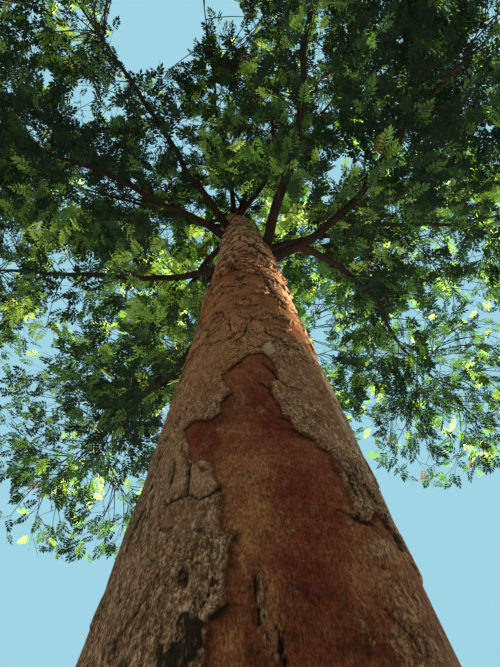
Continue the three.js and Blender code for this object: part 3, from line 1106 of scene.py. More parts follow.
@dataclass(frozen=True)
class Bark:
    """Bark in scales: thin plates with lifted lower edges, broken into chips, some of them fallen.

    The surface is the inner bark, plus the plate's thickness where its chip is still there. The
    thickness stands up steeply from an edge, and more towards the lower end of a plate. On the
    plates lie smaller flakes, half of them fallen too, and both are split by upright cracks. Ragged
    outlines come from noise that shifts the cells. Painted shadow darkens the bark under lifted
    plate and flake edges and along the inside of the bare zone.
    """

    seed: int
    plates_around: int
    plate_height: float
    chips_around: int
    chip_height: float
    thickness: float
    curl: float
    flake: float
    ripple: float
    bare: "Bareness"
    lip_start: float = 1e3
    lip_growth: float = 0.0
    stretch: float = 1.5

    def relief(self, angle: Array, way: Array) -> tuple[Array, dict[str, Array]]:
        """How far the bark stands out at places on a limb.

        Args:
            angle: Angle round the limb.
            way: Distance along it.

        Returns:
            The height of the surface over the bare limb, and the measures that its finish reads.
        """
        turns = angle / TAU
        seed = self.seed
        rough = fractal(turns, way / 0.05, self.chips_around * 2, seed + 1, 4)
        ragged = fractal(turns, way / 0.05, self.chips_around * 2, seed + 2, 4)
        sway = fractal(turns, way / 0.4, self.plates_around // 2, seed + 3, 2)
        plates = Cells(self.plates_around, self.plate_height, 0.85, seed + 4)
        high_up = smooth(way, self.lip_start, self.lip_start + 0.8)
        higher = smooth(way, self.lip_start - 0.9, self.lip_start)
        plate_u = turns * self.plates_around + 0.20 * rough + 0.45 * sway
        plate_v = np.minimum(way, self.lip_start) + np.maximum(way - self.lip_start, 0) / self.stretch
        plate_v = plate_v / self.plate_height + (0.16 + 0.20 * high_up) * ragged
        plate = plates.find(plate_u, plate_v + 0.5 * high_up * sway)
        chips = Cells(self.chips_around, self.chip_height, 0.9, seed + 5)
        chip_u = turns * self.chips_around + 0.36 * ragged + 0.3 * sway
        chip = chips.find(chip_u, way / self.chip_height + 0.32 * rough)
        inside = self.bare.inside(angle, way)
        sinks = np.gradient(inside, axis=0) / np.maximum(np.gradient(way, axis=0), 1e-6)
        zone_below = smooth(-sinks, -0.1, 0.6)
        here = self.stays(chips, chip.column, chip.row) & (inside < 0)
        beside = self.stays(chips, chip.second_column, chip.second_row)
        torn = here & ~beside
        rim = np.where(torn, chip.edge, 1.0)
        stands = np.where(here, smooth(rim, 0.0, 0.06) * smooth(-inside, 0.0, 0.0025), 0.0)
        open_below = torn * smooth(chip.drop, -0.2, 0.6) * np.exp(-((chip.edge / 0.3) ** 2))
        open_below = np.maximum(open_below, here * zone_below * np.exp(-((inside / 0.014) ** 2)))
        lower_end = smooth(plate.below, 0.0, 0.55) * (0.4 + 0.6 * plates.chance(plate.column, plate.row, 2))
        body = self.thickness * (0.7 + 0.6 * plates.chance(plate.column, plate.row, 3))
        small = Cells(self.chips_around * 2, self.chip_height * 0.7, 0.95, seed + 15)
        scale = small.find(turns * small.around + 0.7 * rough, way / small.tall + 0.5 * ragged)
        flaked = small.chance(scale.column, scale.row, 8) > 0.5
        flaked_beside = small.chance(scale.second_column, scale.second_row, 8) > 0.5
        scale_rim = np.where(flaked & ~flaked_beside, scale.edge, 1.0)
        layer = flaked * smooth(scale_rim, 0.0, 0.09)
        split = fractal(turns, way / 0.30, self.chips_around, seed + 20, 3)
        split_where = smooth(fractal(turns, way / 0.35, self.plates_around, seed + 21, 2), 0.0, 0.25)
        whole = self.bare.whole(angle, way)
        layer = layer * (1 - 0.6 * whole)
        seam = (1 - smooth(np.abs(split), 0.012, 0.05)) * split_where * (1 - 0.9 * whole)
        # Joints between plates. Along lower edges, and wider high up, they carry painted shadow under the
        # plate lips, and the groove follows them.
        joint_and_lip_shadow = 1 - smooth(plate.edge, 0.01 + 0.26 * high_up, 0.07 + 0.66 * high_up)
        falling = smooth(plate.drop + 0.15 * high_up, -0.1, 0.5)
        joint_and_lip_shadow *= 0.30 * (1 - high_up) + (0.70 + 0.30 * high_up) * falling
        joint_and_lip_shadow *= 1 - 0.85 * whole
        curl = self.curl + self.lip_growth * high_up
        outer = body + curl * (lower_end + 0.8 * open_below) + self.flake * layer
        outer -= 0.8 * (body + curl * lower_end) * np.maximum(joint_and_lip_shadow, 0.8 * seam)
        grain = fractal(turns, way / 0.05, self.chips_around * 5, seed + 6, 3)
        wave = fractal(turns, way / 0.5, self.plates_around, seed + 8, 3)
        height = stands * outer + (1 - stands) * 0.3 * self.flake * layer
        height += self.ripple * (0.3 + 0.7 * stands) * (1 - 0.6 * whole) * grain + 2.0 * self.ripple * wave
        # Painted shadow on bare bark under the edge of a standing chip, strongest below it.
        under = (~here & beside & (inside < 0)) * (0.25 + 0.75 * smooth(-chip.drop, -0.1, 0.5))
        shadow = under * (1 - smooth(chip.edge, 0.02, 0.16))
        # Painted shadow along the inside of the bare zone's edge, strongest where the plates lie above it.
        zone_shadow = (0.50 + 0.50 * zone_below) * (1 - smooth(inside, 0.0020, 0.0085 + 0.010 * zone_below))
        shadow = np.maximum(shadow, (inside >= 0) * zone_shadow)
        # Painted shadow under the lower edges of flakes.
        wide = 0.14 + 0.30 * higher
        flake_shadow = (flaked_beside & ~flaked) * (1 - smooth(scale.edge, 0.4 * wide, wide))
        flake_shadow = flake_shadow * smooth(-scale.drop, -0.1, 0.4) * (1 - 0.7 * whole)
        # Dark joints and seams, with the painted shadow under plate lips and flakes.
        lines = np.maximum(np.maximum(joint_and_lip_shadow, seam), (0.6 + 0.4 * higher) * flake_shadow)
        dark = np.maximum(stands * lines, shadow)
        measures = {
            "plate": stands,
            "crack": np.clip(np.maximum(dark, (0.2 + 0.55 * higher) * flake_shadow), 0, 1),
            # Each plate's random tone and its flakes, plus a painted highlight that lightens the plates
            # high up.
            "tone": 0.6 * plates.chance(plate.column, plate.row, 5) + 0.4 * layer + 1.1 * high_up,
        }
        return height - 0.6 * self.thickness, measures

    def stays(self, chips: Cells, column: Array, row: Array) -> Array:
        """Whether a chip is still on the limb: its own chance is over its place's bareness."""
        across, along = chips.centre(column, row)
        bareness = self.bare.share(across / chips.around * TAU, along * chips.tall)
        return chips.chance(column, row, 6) > bareness


class Bareness:
    """Where the outer bark has fallen from a bough: a few chips, in patches along it."""

    patch_length = 0.7
    patch_share = 0.7
    elsewhere = 0.04

    def share(self, angle: Array, way: Array) -> Array:
        """The share of chips that have fallen at a place."""
        cloud = fractal(angle / TAU, way / self.patch_length, 2, 5, 2)
        return np.where(cloud > 0.35, self.patch_share, self.elsewhere)

    def inside(self, angle: Array, way: Array) -> Array:
        """How far a place is inside a wholly bare zone, less than 0 outside it. A bough has none."""
        return np.full(angle.shape, -1.0)

    def whole(self, angle: Array, way: Array) -> Array:
        """How far the plates of a place are whole, without joints and flakes. On a bough none are."""
        return np.zeros(angle.shape)


def girth_arc(degrees: Array | float, plan: TrunkPlan) -> Array:
    """Distance round the trunk from the line that faces the camera, at its girth near the eye."""
    return np.radians(degrees) * float(plan.radius(np.array(GIRTH_HEIGHT), np.array(0.0)))


@dataclass(frozen=True)
class BareZone:
    """A wholly bare zone of the trunk, by its edge.

    The edge is given in the photograph's pixels, and goes on where the photograph doesn't show it
    by angles in degrees from the line that faces the camera, and heights.
    """

    seen: tuple[Pair, ...]
    unseen: tuple[Pair, ...] = ()

    def inside(self, arc: Array, height: Array, view: Viewpoint, plan: TrunkPlan) -> Array:
        """Distance to the nearest side of the edge, more than 0 inside and less outside.

        Args:
            arc: Distance round the trunk.
            height: Height up it.
            view: The photograph's view.
            plan: The trunk's plan.

        Returns:
            The distance. A place is inside where a level line from it crosses an odd number of sides.
        """
        corners = view.on_trunk(self.seen, plan)
        if self.unseen:
            corners = np.concatenate([corners, self.unseen])
        corners = np.stack([girth_arc(corners[:, 0], plan), corners[:, 1]], -1)
        nearest, odd = np.full(arc.shape, 9.0), np.zeros(arc.shape, bool)
        for start, stop in zip(corners, np.roll(corners, -1, axis=0)):
            way = stop - start
            share = ((arc - start[0]) * way[0] + (height - start[1]) * way[1]) / max(way @ way, 1e-12)
            share = np.clip(share, 0, 1)
            away = np.hypot(arc - start[0] - share * way[0], height - start[1] - share * way[1])
            nearest = np.minimum(nearest, away)
            crosses = (start[1] > height) != (stop[1] > height)
            meets = start[0] + (height - start[1]) * way[0] / (way[1] if way[1] else 1e-12)
            odd ^= crosses & (arc < meets)
        return np.where(odd, nearest, -nearest)


@dataclass(frozen=True)
class TrunkBareness(Bareness):
    """Where the outer bark has fallen from the trunk: all of it in the main zone in front, most of
    it in the upper one, and patches elsewhere.
    """

    view: Viewpoint
    plan: TrunkPlan
    main: BareZone = BareZone(
        seen=(
            (203, 667), (204, 642), (206, 628), (208, 617), (217, 607), (221, 599), (222, 585), (224, 570),
            (228, 548), (234, 534), (235, 528), (224, 532), (219, 526), (219, 513), (216, 499),
            (218, 491), (219, 483), (212, 473), (211, 463), (203, 461), (195, 463), (189, 459), (188, 440),
            (185, 429), (194, 420), (212, 418), (222, 412), (219, 403), (233, 391), (222, 381), (221, 374),
            (226, 373), (236, 363), (247, 353), (262, 352), (270, 357), (277, 368), (278, 380), (270, 382),
            (259, 381), (270, 387), (275, 398), (281, 405), (280, 416), (293, 420), (295, 428), (304, 435),
            (317, 440), (324, 448), (332, 453), (335, 467), (342, 476), (348, 489), (350, 500), (355, 515),
            (365, 520), (372, 523), (375, 511), (386, 523), (397, 536), (405, 553),
        ),
        unseen=(
            (62, 2.15), (72, 2.21), (100, 2.22), (124, 1.90), (112, 1.40), (60, 1.20), (0, 1.05),
            (-16, 1.30),
        ),
    )
    upper: BareZone = BareZone(
        seen=(
            (199, 330), (206, 300), (212, 284), (220, 272), (229, 271), (239, 269), (252, 268), (262, 273),
            (264, 279), (269, 287), (276, 298), (287, 307), (297, 314), (301, 325), (297, 346), (286, 341),
            (272, 331), (262, 321), (252, 312), (243, 302), (233, 311), (222, 320), (212, 324),
        ),
    )
    front: float = 84.0
    front_heights: Pair = (1.45, 2.95)
    front_share: float = 0.0
    whole_above: float = 4.5
    whole_to: float = 40.0
    patch_size: float = 0.55
    patch_seed: int = 77
    patch_share: float = 0.94
    elsewhere: float = 0.03
    upper_share: float = 0.74
    ragged: Pair = (0.0065, 0.010)

    def facing(self, angle: Array) -> Array:
        """The angle from the camera's side, in degrees, from -180 to 180."""
        return (np.degrees(angle) + 90 + 180) % 360 - 180

    def share(self, angle: Array, way: Array) -> Array:
        """The share of chips that have fallen at places.

        Args:
            angle: Angles round the trunk.
            way: Heights up it.

        Returns:
            The share at each.
        """
        low, high = self.front_heights
        cloud = fractal(angle / TAU, way / self.patch_size, 4, self.patch_seed, 3)
        patches = np.where(cloud > 0.2, self.patch_share, self.elsewhere)
        level = ((way > low) & (way < high)) | (way > self.whole_above)
        in_front = (np.abs(self.facing(angle)) < self.front) & level
        patches = np.where(in_front, self.front_share, patches)
        arc = girth_arc(self.facing(angle), self.plan)
        return np.where(self.upper.inside(arc, way, self.view, self.plan) > 0, self.upper_share, patches)

    def whole(self, angle: Array, way: Array) -> Array:
        """How far the plates of a place are whole: those in front, between two heights."""
        low, high = self.front_heights
        side = 1 - smooth(np.abs(self.facing(angle)), self.whole_to, self.front)
        return side * smooth(way, low, low + 0.2) * (1 - smooth(way, high - 0.35, high))

    def inside(self, angle: Array, way: Array) -> Array:
        """How far places are inside the main bare zone, with noise that makes its edge ragged.

        Args:
            angle: Angles round the trunk.
            way: Heights up it.

        Returns:
            The distance for each, less than 0 outside.
        """
        arc = girth_arc(self.facing(angle), self.plan)
        side, up = self.ragged
        arc = arc + side * fractal(angle / TAU, way / 0.03, 60, 31, 4)
        way = way + up * fractal(angle / TAU, way / 0.03, 60, 32, 4)
        return self.main.inside(arc, way, self.view, self.plan)


@dataclass(frozen=True)
class Split:
    """A line on the bark from a top to a foot, each at an angle in degrees and a height: a dark split, or a
    raised sliver.
    """

    top: Pair
    foot: Pair
    width: float = 0.004


@dataclass(frozen=True)
class DarkLine:
    """A dark line on the bark, cracks and painted shadow under plate edges, by the photograph's pixels
    along it and a width in pixels.
    """

    path: tuple[Pair, ...]
    width: float = 1.0

    def share(self, seen: Array) -> Array:
        """How dark it makes places in the photograph: 1 on its line.

        Args:
            seen: Their pixels.

        Returns:
            The darkness of each.
        """
        nearest = np.full(len(seen), 99.0)
        corners = np.array(self.path)
        for start, stop in zip(corners, corners[1:]):
            way = stop - start
            share = np.clip((seen - start) @ way / (way @ way), 0, 1)
            nearest = np.minimum(nearest, np.linalg.norm(seen - start - share[:, None] * way, axis=1))
        return 1 - smooth(nearest, 0.35 * self.width, self.width)


@dataclass(frozen=True)
class Spot:
    """A round or long spot on the bark, by its middle's angle in degrees and height, and its half sizes."""

    turn: float
    height: float
    across: float
    up: float


@dataclass
class Trunk:
    """The trunk as one surface of angle and height, cut into bands that are each a closed piece."""

    view: Viewpoint
    plan: TrunkPlan = TrunkPlan()
    columns: int = 340
    front_crowding: float = 0.5
    bands: tuple[tuple[str, float, int], ...] = (
        ("trunk_foot", 1.75, 150), ("trunk_low", 2.35, 210), ("trunk_middle", 3.10, 210),
        ("trunk_high", 4.80, 260), ("trunk_top", 6.80, 190),
    )
    shoulder: float = 0.10
    shoulder_narrowing: float = 0.012
    lichen_spots: tuple[Spot, ...] = (
        Spot(-50, 2.30, 0.012, 0.020), Spot(150, 1.6, 0.04, 0.04), Spot(-120, 2.2, 0.04, 0.05),
    )
    moss_spots: tuple[Spot, ...] = (
        Spot(120, 0.9, 0.08, 0.10), Spot(-150, 0.6, 0.10, 0.12), Spot(60, 0.5, 0.07, 0.08),
    )
    lichens: Patches = patches((269, 349, 7, 8, 0.75), (150, 565, 6, 6, 0.35))
    mosses: Patches = patches((193, 646, 14, 32, 1.0), (176, 662, 20, 20, 0.9))
    pale_plates: Patches = patches((203, 480, 17, 21, 1.0), (178, 475, 12, 26, 0.5))
    calm_plates: Patches = patches(
        (203, 480, 19, 23, 1.0), (177, 474, 16, 30, 0.8), (186, 524, 34, 22, 0.65), (205, 345, 26, 34, 0.5),
        (330, 440, 20, 60, 0.6), (300, 385, 26, 30, 0.6),
    )
    pits: Patches = patches(
        (184, 579, 6.5, 10, 0.9), (200, 530, 5.0, 4.0, 1.0), (124, 664, 6.0, 8.0, 0.9),
        (203, 469, 4.0, 3.0, 0.8),
    )
    # Dark splits; the second is painted shadow beside the first raised sliver.
    splits: tuple[Split, ...] = (
        Split((2.2, 1.92), (3.8, 1.84), 0.0025), Split((-2.2, 1.985), (-1.0, 1.905), 0.0028),
    )
    # Cracks, and painted shadow lines under plate edges and along the edges of the bare zones.
    cracks: tuple[DarkLine, ...] = (
        DarkLine(((226, 262), (234, 259), (249, 260)), 1.1),
        DarkLine(((229, 271), (239, 269), (252, 268), (262, 273)), 1.2),
        DarkLine(((221, 287), (226, 285.5), (239, 285.5), (246, 283)), 1.1),
        DarkLine(((254, 246), (260, 252), (268, 261)), 1.8),
        DarkLine(((262, 273), (264, 279), (269, 287), (276, 298), (287, 307), (297, 314), (301, 322)), 1.5),
        DarkLine(((211, 285), (206, 293), (203, 303), (199, 311)), 1.2),
        DarkLine(((216, 313), (222, 311), (223, 316), (219, 322), (215, 321)), 0.9),
        DarkLine(((230.5, 318), (229.5, 324), (231.5, 332)), 1.0),
        DarkLine(((242, 299), (246, 297.5), (252, 300), (250, 305)), 0.9),
        DarkLine(((250, 316), (252, 319), (247, 325), (246, 330), (241, 338), (234, 341)), 1.0),
        DarkLine(((264, 326), (266, 333), (273, 336), (278, 337), (284, 342), (290, 347), (298, 350)), 1.3),
        DarkLine(((207, 337), (214, 333), (220, 330)), 0.9),
        DarkLine(((263, 361), (268, 367), (276, 373), (278, 379), (286, 386), (301, 391)), 1.3),
        DarkLine(((191, 464), (189, 477), (188, 495), (201, 499.5), (212, 495), (218, 486)), 2.3),
        DarkLine(((188, 495), (179, 499.5), (167, 505)), 2.3),
        DarkLine(((198, 466), (203, 472.5), (209, 469)), 1.2),
        DarkLine(((176, 460), (173, 477), (170, 488)), 1.5), DarkLine(((185, 452), (188, 466)), 1.4),
        DarkLine(((146, 596), (150, 600), (141, 608), (140, 615), (131, 626), (121, 637), (115, 653)), 1.9),
        DarkLine(((123, 583), (119, 593), (124, 602)), 1.5), DarkLine(((166, 449), (159, 462), (153, 476)), 1.4),
        DarkLine(((158, 483), (152, 491)), 1.6), DarkLine(((145, 510), (138, 525), (131, 540), (127, 553)), 1.6),
        DarkLine(((150, 515), (143, 530), (137, 546)), 1.1), DarkLine(((161, 518), (162, 532)), 1.0),
        DarkLine(((214, 570), (210, 592), (204, 606), (198, 614)), 1.2),
        DarkLine(((164, 530), (168, 532), (173, 528)), 1.6), DarkLine(((282, 628), (283, 647), (288, 666)), 1.5),
        DarkLine(((346, 470), (352, 486), (356, 497)), 1.2), DarkLine(((338, 508), (353, 515), (368, 523)), 1.3),
        DarkLine(((364, 484), (374, 500), (381, 511), (388, 526), (397, 536), (403, 549)), 2.0),
        DarkLine(((386, 606), (394, 614), (402, 622), (412, 634), (420, 644), (427, 656)), 1.3),
        DarkLine(((383, 563), (384, 570)), 1.0),
    )
    slivers: tuple[Split, ...] = (
        Split((-1.2, 1.985), (0.1, 1.890), 0.0062), Split((30.4, 1.970), (33.3, 1.940), 0.0040),
        Split((33.3, 1.940), (37.6, 1.905), 0.0045), Split((22.0, 1.950), (24.0, 1.900), 0.0035),
    )
    stray: float = 1.3
    sliver_height: float = 0.004
    reds: Patches = patches(
        (312, 520, 44, 110, 1.0), (204, 438, 16, 22, 1.0), (282, 422, 24, 28, 0.8), (262, 390, 20, 20, 0.5),
        (300, 640, 60, 40, 0.4),
    )
    crusts: Patches = patches(
        (398, 548, 34, 16, 0.9), (412, 575, 14, 34, 0.8), (425, 630, 44, 50, 0.75), (385, 612, 26, 14, 0.6),
        (455, 660, 30, 40, 0.8), (376, 660, 20, 40, 0.5),
    )
    golds: Patches = patches(
        (240, 490, 26, 90, 0.55), (382, 575, 34, 40, 0.8), (312, 450, 18, 18, 0.6), (225, 640, 20, 40, 0.3),
        (272, 610, 8, 40, 0.7), (250, 310, 60, 50, 0.5),
    )
    deeps: Patches = patches(
        (255, 620, 14, 60, 0.6), (318, 625, 40, 60, 0.7), (380, 650, 40, 30, 0.5), (228, 560, 14, 24, 0.4),
    )
    warms: Patches = patches(
        (206, 355, 34, 54, 0.9), (245, 300, 60, 56, 1.0), (185, 430, 26, 40, 0.5), (395, 600, 40, 60, 0.5),
    )
    seen_angle: float = 86.0

    def bark(self) -> Bark:
        """The trunk's bark."""
        return Bark(
            seed=11, plates_around=15, plate_height=0.19, chips_around=30, chip_height=0.070,
            thickness=0.0036, curl=0.0034, flake=0.0010, ripple=0.0009,
            bare=TrunkBareness(self.view, self.plan), lip_start=3.3, lip_growth=0.015,
        )

    def stains(self, marks: "Sequence[Patch | DarkLine]", seen: Array, facing: Array) -> Array:
        """The strongest of some patches or dark lines at places of the trunk's front."""
        return strongest(marks, seen).reshape(facing.shape) * (np.abs(facing) < self.seen_angle)

    def spots(self, where: tuple[Array, Array], spots: Sequence[Spot]) -> Array:
        """A bell curve round each spot's middle, with ragged rims, summed.

        Args:
            where: Distance round the trunk from the line that faces the camera, and height.
            spots: The spots.

        Returns:
            The sum at each place.
        """
        arc, height = where
        total = np.zeros(arc.shape)
        blur = 1 + 1.1 * fractal(arc / 1.5, height / 0.035, 150, 91, 4)
        for spot in spots:
            across = (arc - girth_arc(spot.turn, self.plan)) / spot.across
            total += np.exp(-((np.hypot(across, (height - spot.height) / spot.up) * blur) ** 2))
        return total

    def line(self, where: tuple[Array, Array], split: Split) -> Array:
        """How far places are from a split's middle line, over its width there, ragged and pointed.

        Args:
            where: Distance round the trunk from the line that faces the camera, and height.
            split: The split.

        Returns:
            0 on the line, 1 at the edge of the split.
        """
        arc, height = where
        top = np.array([girth_arc(split.top[0], self.plan), split.top[1]])
        foot = np.array([girth_arc(split.foot[0], self.plan), split.foot[1]])
        way = foot - top
        share = np.clip(((arc - top[0]) * way[0] + (height - top[1]) * way[1]) / (way @ way), 0, 1)
        wobble = 0.004 * fractal(share * 0.4, height / 0.05, 20, 17, 2)
        away = np.hypot(arc - top[0] - share * way[0] + wobble, height - top[1] - share * way[1])
        return away / (split.width * (0.35 + 0.65 * np.sin(math.pi * (0.1 + 0.8 * share))))

    def spot(self, angle: Array, height: Array, out: Array | float = 0.0) -> Array:
        """Points at angles and heights, so far out from the bare trunk."""
        across = np.stack([np.cos(angle), np.sin(angle), np.zeros_like(angle)], -1)
        return self.plan.axis(height) + (self.plan.radius(height, angle) + out)[..., None] * across

    def surface(self, angle: Array, height: Array) -> tuple[Array, dict[str, Array]]:
        """Points of the trunk: the plan's radius plus the bark, rounded off at the top.

        Args:
            angle: Angles round the trunk.
            height: Heights up it.

        Returns:
            The points, and the measures that the finish reads.
        """
        bark = self.bark()
        relief, measures = bark.relief(angle, height)
        facing = bark.bare.facing(angle)
        where = (girth_arc(facing, self.plan), height)
        seen = self.view.pixels(self.spot(angle, height).reshape(-1, 3))
        stray = [fractal(angle / TAU, height / 0.02, 200, seed, 2).ravel() for seed in (71, 72)]
        strayed = seen + self.stray * np.stack(stray, -1)
        # Dark pits, splits and lines; some lines and one split are painted shadow under edges and beside a
        # sliver.
        dark = 0.8 * smooth(self.stains(self.pits, strayed, facing), 0.1, 0.5)
        for split in self.splits:
            dark = np.maximum(dark, 1 - smooth(self.line(where, split), 0.5, 1.2))
        dark = np.maximum(dark, self.stains(self.cracks, strayed, facing))
        raised = 1 - smooth(np.min([self.line(where, sliver) for sliver in self.slivers], axis=0), 0.3, 1.0)
        relief = relief - 0.004 * dark + self.sliver_height * raised
        top = smooth(height, self.plan.height - self.shoulder, self.plan.height)
        points = self.spot(angle, height, relief - self.shoulder_narrowing * top)
        measures["crack"] = np.maximum(measures["crack"], dark) * (1 - raised)
        measures["plate"] = np.maximum(measures["plate"], 0.7 * raised)
        flecks = fractal(angle / TAU, height / 0.05, 70, 95, 4)
        crust = smooth(self.stains(self.crusts, strayed, facing) + 0.9 * flecks, 0.25, 0.8)
        measures["plate"] = np.maximum(measures["plate"], 0.72 * crust)
        measures["tone"] = measures["tone"] + 0.8 * self.stains(self.pale_plates, seen, facing)
        measures["calm"] = 0.85 * self.stains(self.calm_plates, seen, facing)
        measures["growth"] = self.spots(where, self.lichen_spots) - self.spots(where, self.moss_spots)
        measures["growth"] += self.stains(self.lichens, strayed, facing)
        measures["growth"] -= self.stains(self.mosses, seen + 9 * (strayed - seen), facing)
        cloud = fractal(angle / TAU, height / 0.3, 12, 61, 4)
        measures["red"] = np.clip(0.12 + 0.8 * self.stains(self.reds, seen, facing) + 0.5 * cloud, 0, 1)
        gold, deep = self.stains(self.golds, seen, facing), self.stains(self.deeps, seen, facing)
        measures["gold"] = np.clip(0.25 + gold - deep - 0.4 * cloud, -1, 1)
        warmth = 0.08 + 0.20 * smooth(height, 2.3, 2.7) + 0.20 * cloud
        measures["warmth"] = np.clip(warmth + 0.5 * self.stains(self.warms, seen, facing), 0, 0.85)
        return points, measures

    def build(self, finish: Material) -> list[Piece]:
        """Makes the bands.

        Args:
            finish: The bark's material.

        Returns:
            One piece for each band.
        """
        spot = TAU * np.arange(self.columns) / self.columns - math.pi
        angles = spot - self.front_crowding * np.sin(spot) - math.pi / 2
        heights, starts = [np.zeros(1)], [0]
        for _, top, rows in self.bands:
            heights.append(np.linspace(heights[-1][-1], top, rows + 1)[1:])
            starts.append(starts[-1] + rows)
        angle, height = np.meshgrid(angles, np.concatenate(heights))
        points, measures = self.surface(angle, height)
        normals = self.normals(points)
        pieces = []
        for (name, _, _), start, stop in zip(self.bands, starts, starts[1:]):
            band = slice(start, stop + 1)
            ring = points[band]
            caps = self.plan.axis(ring[[0, -1], 0, 2])
            shell = Shell(
                np.concatenate([ring.reshape(-1, 3), caps]),
                tube_triangles(len(ring), self.columns),
                None,
                {key: np.append(values[band].ravel(), [0.0, 0.0]) for key, values in measures.items()},
                np.concatenate([normals[band].reshape(-1, 3), -UP[None], UP[None]]),
            )
            piece = shell.piece(name, [finish])
            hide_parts(TRUNK)
            pieces.append(piece)
        return pieces

    @staticmethod
    def normals(points: Array) -> Array:
        """Directions out of a closed grid: the cross product of its steps round and up."""
        round_step = np.roll(points, -1, axis=1) - np.roll(points, 1, axis=1)
        return unit(np.cross(round_step, np.gradient(points, axis=0)))


@dataclass
class Limbs:
    """The boughs, each a tube of bark that swells where it leaves its parent."""

    plan: CrownPlan
    trunk: TrunkPlan = TrunkPlan()
    leader: str = "summit"
    taper_power: float = 0.8
    primary_tip: float = 0.42
    secondary_tip: float = 0.45
    collar: float = 0.38
    collar_reach: float = 0.09
    row_height: float = 0.016
    crook: float = 0.085
    crook_length: float = 0.75
    crook_start: float = 0.3

    def radius(self, bough: Bough, share: Array) -> Array:
        """A bough's radius along it, by the source's taper."""
        tip = self.primary_tip if bough.parent == TRUNK else self.secondary_tip
        return bough.radius * (1 + (tip - 1) * share**self.taper_power)

    def parent_radius(self, bough: Bough) -> float:
        """The radius of what a bough grows from, where it leaves it."""
        at = np.array(bough.at)
        if bough.parent == TRUNK:
            return float(self.trunk.radius(at, np.array(0.0)))
        return float(self.radius(bough_to(bough.parent), at))

    def crooks(self, bough: Bough, share: Array) -> Array:
        """How far a bough strays from its curve: noise across it, that fades in from its parent's own.

        Args:
            bough: The bough.
            share: Places along it.

        Returns:
            The shift of its centre at each place.
        """
        curve = self.plan.boughs[bough.to]
        way = share * curve.length() / self.crook_length
        level, upright = cross_sections(curve.along(share))
        across, up = (fractal(np.full(share.shape, 0.3), way, 2, bough.seed + k, 3) for k in (1, 2))
        fade = self.crook * np.sin(math.pi * share) ** 0.7
        shift = (fade * across)[:, None] * level + (fade * up)[:, None] * upright
        if bough.parent != TRUNK:
            held = (1 - smooth(share, 0.0, self.crook_start))[:, None]
            shift = shift * (1 - held) + self.crooks(bough_to(bough.parent), np.array([bough.at])) * held
        return shift

    def tube(self, bough: Bough) -> Shell:
        """One bough: rings square to its curve, with a collar, slight crooks and bark.

        Args:
            bough: The bough.

        Returns:
            The closed tube. Its rings run the other way round than the trunk's, so its faces are turned.
        """
        curve = self.plan.boughs[bough.to]
        length = curve.length()
        rows = max(int(length / self.row_height), 24)
        sides = int(np.clip(round(TAU * bough.radius / 0.017), 14, 40))
        share = np.linspace(0, 1, rows)
        along = curve.along(share)
        level, upright = cross_sections(along)
        centre = curve.at(share) + self.crooks(bough, share)
        angle, way = np.meshgrid(TAU * np.arange(sides) / sides, share * length)
        bark = Bark(
            seed=bough.seed, plates_around=6, plate_height=0.11, chips_around=12, chip_height=0.045,
            thickness=0.0026, curl=0.0026, flake=0.0010, ripple=0.0012, bare=Bareness(),
        )
        relief, measures = bark.relief(angle, way)
        past = np.maximum(way[:, 0] - self.parent_radius(bough), 0)
        collar = 0.0 if bough.to == self.leader else self.collar
        swell = 1 + collar * np.exp(-past / self.collar_reach)
        radius = (self.radius(bough, share) * swell)[:, None] + relief * min(1.0, bough.radius / 0.05)
        across = np.cos(angle)[..., None] * level[:, None] + np.sin(angle)[..., None] * upright[:, None]
        rings = centre[:, None] + radius[..., None] * across
        plain = {"growth": 0.0, "red": 0.3, "gold": 0.2, "warmth": 0.1, "calm": 0.0}
        measures |= {name: np.full(angle.shape, value) for name, value in plain.items()}
        return Shell(
            np.concatenate([rings.reshape(-1, 3), centre[[0, -1]]]),
            tube_triangles(rows, sides)[:, ::-1],
            None,
            {key: np.append(values.ravel(), [0.0, 0.0]) for key, values in measures.items()},
        )

    def build(self, finish: Material, trunk_finish: Material) -> list[Piece]:
        """Makes three pieces: the leader, the boughs that leave the trunk, and those that leave boughs.

        Args:
            finish: The boughs' bark, a darkened copy that paints the crown's shade on them.
            trunk_finish: The bark of the leader, which is the trunk's.

        Returns:
            The pieces.
        """
        leader = [bough for bough in BOUGHS if bough.to == self.leader]
        main = [bough for bough in BOUGHS if bough.parent == TRUNK and bough not in leader]
        side = [bough for bough in BOUGHS if bough.parent != TRUNK]
        rows = {"leader": leader, "main_boughs": main, "side_boughs": side}
        pieces = []
        for name, members in rows.items():
            bark = trunk_finish if members is leader else finish
            piece = Shell.joined([self.tube(bough) for bough in members]).piece(name, [bark])
            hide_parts(*(bough.node for bough in members))
            pieces.append(piece)
        return pieces


# Foliage


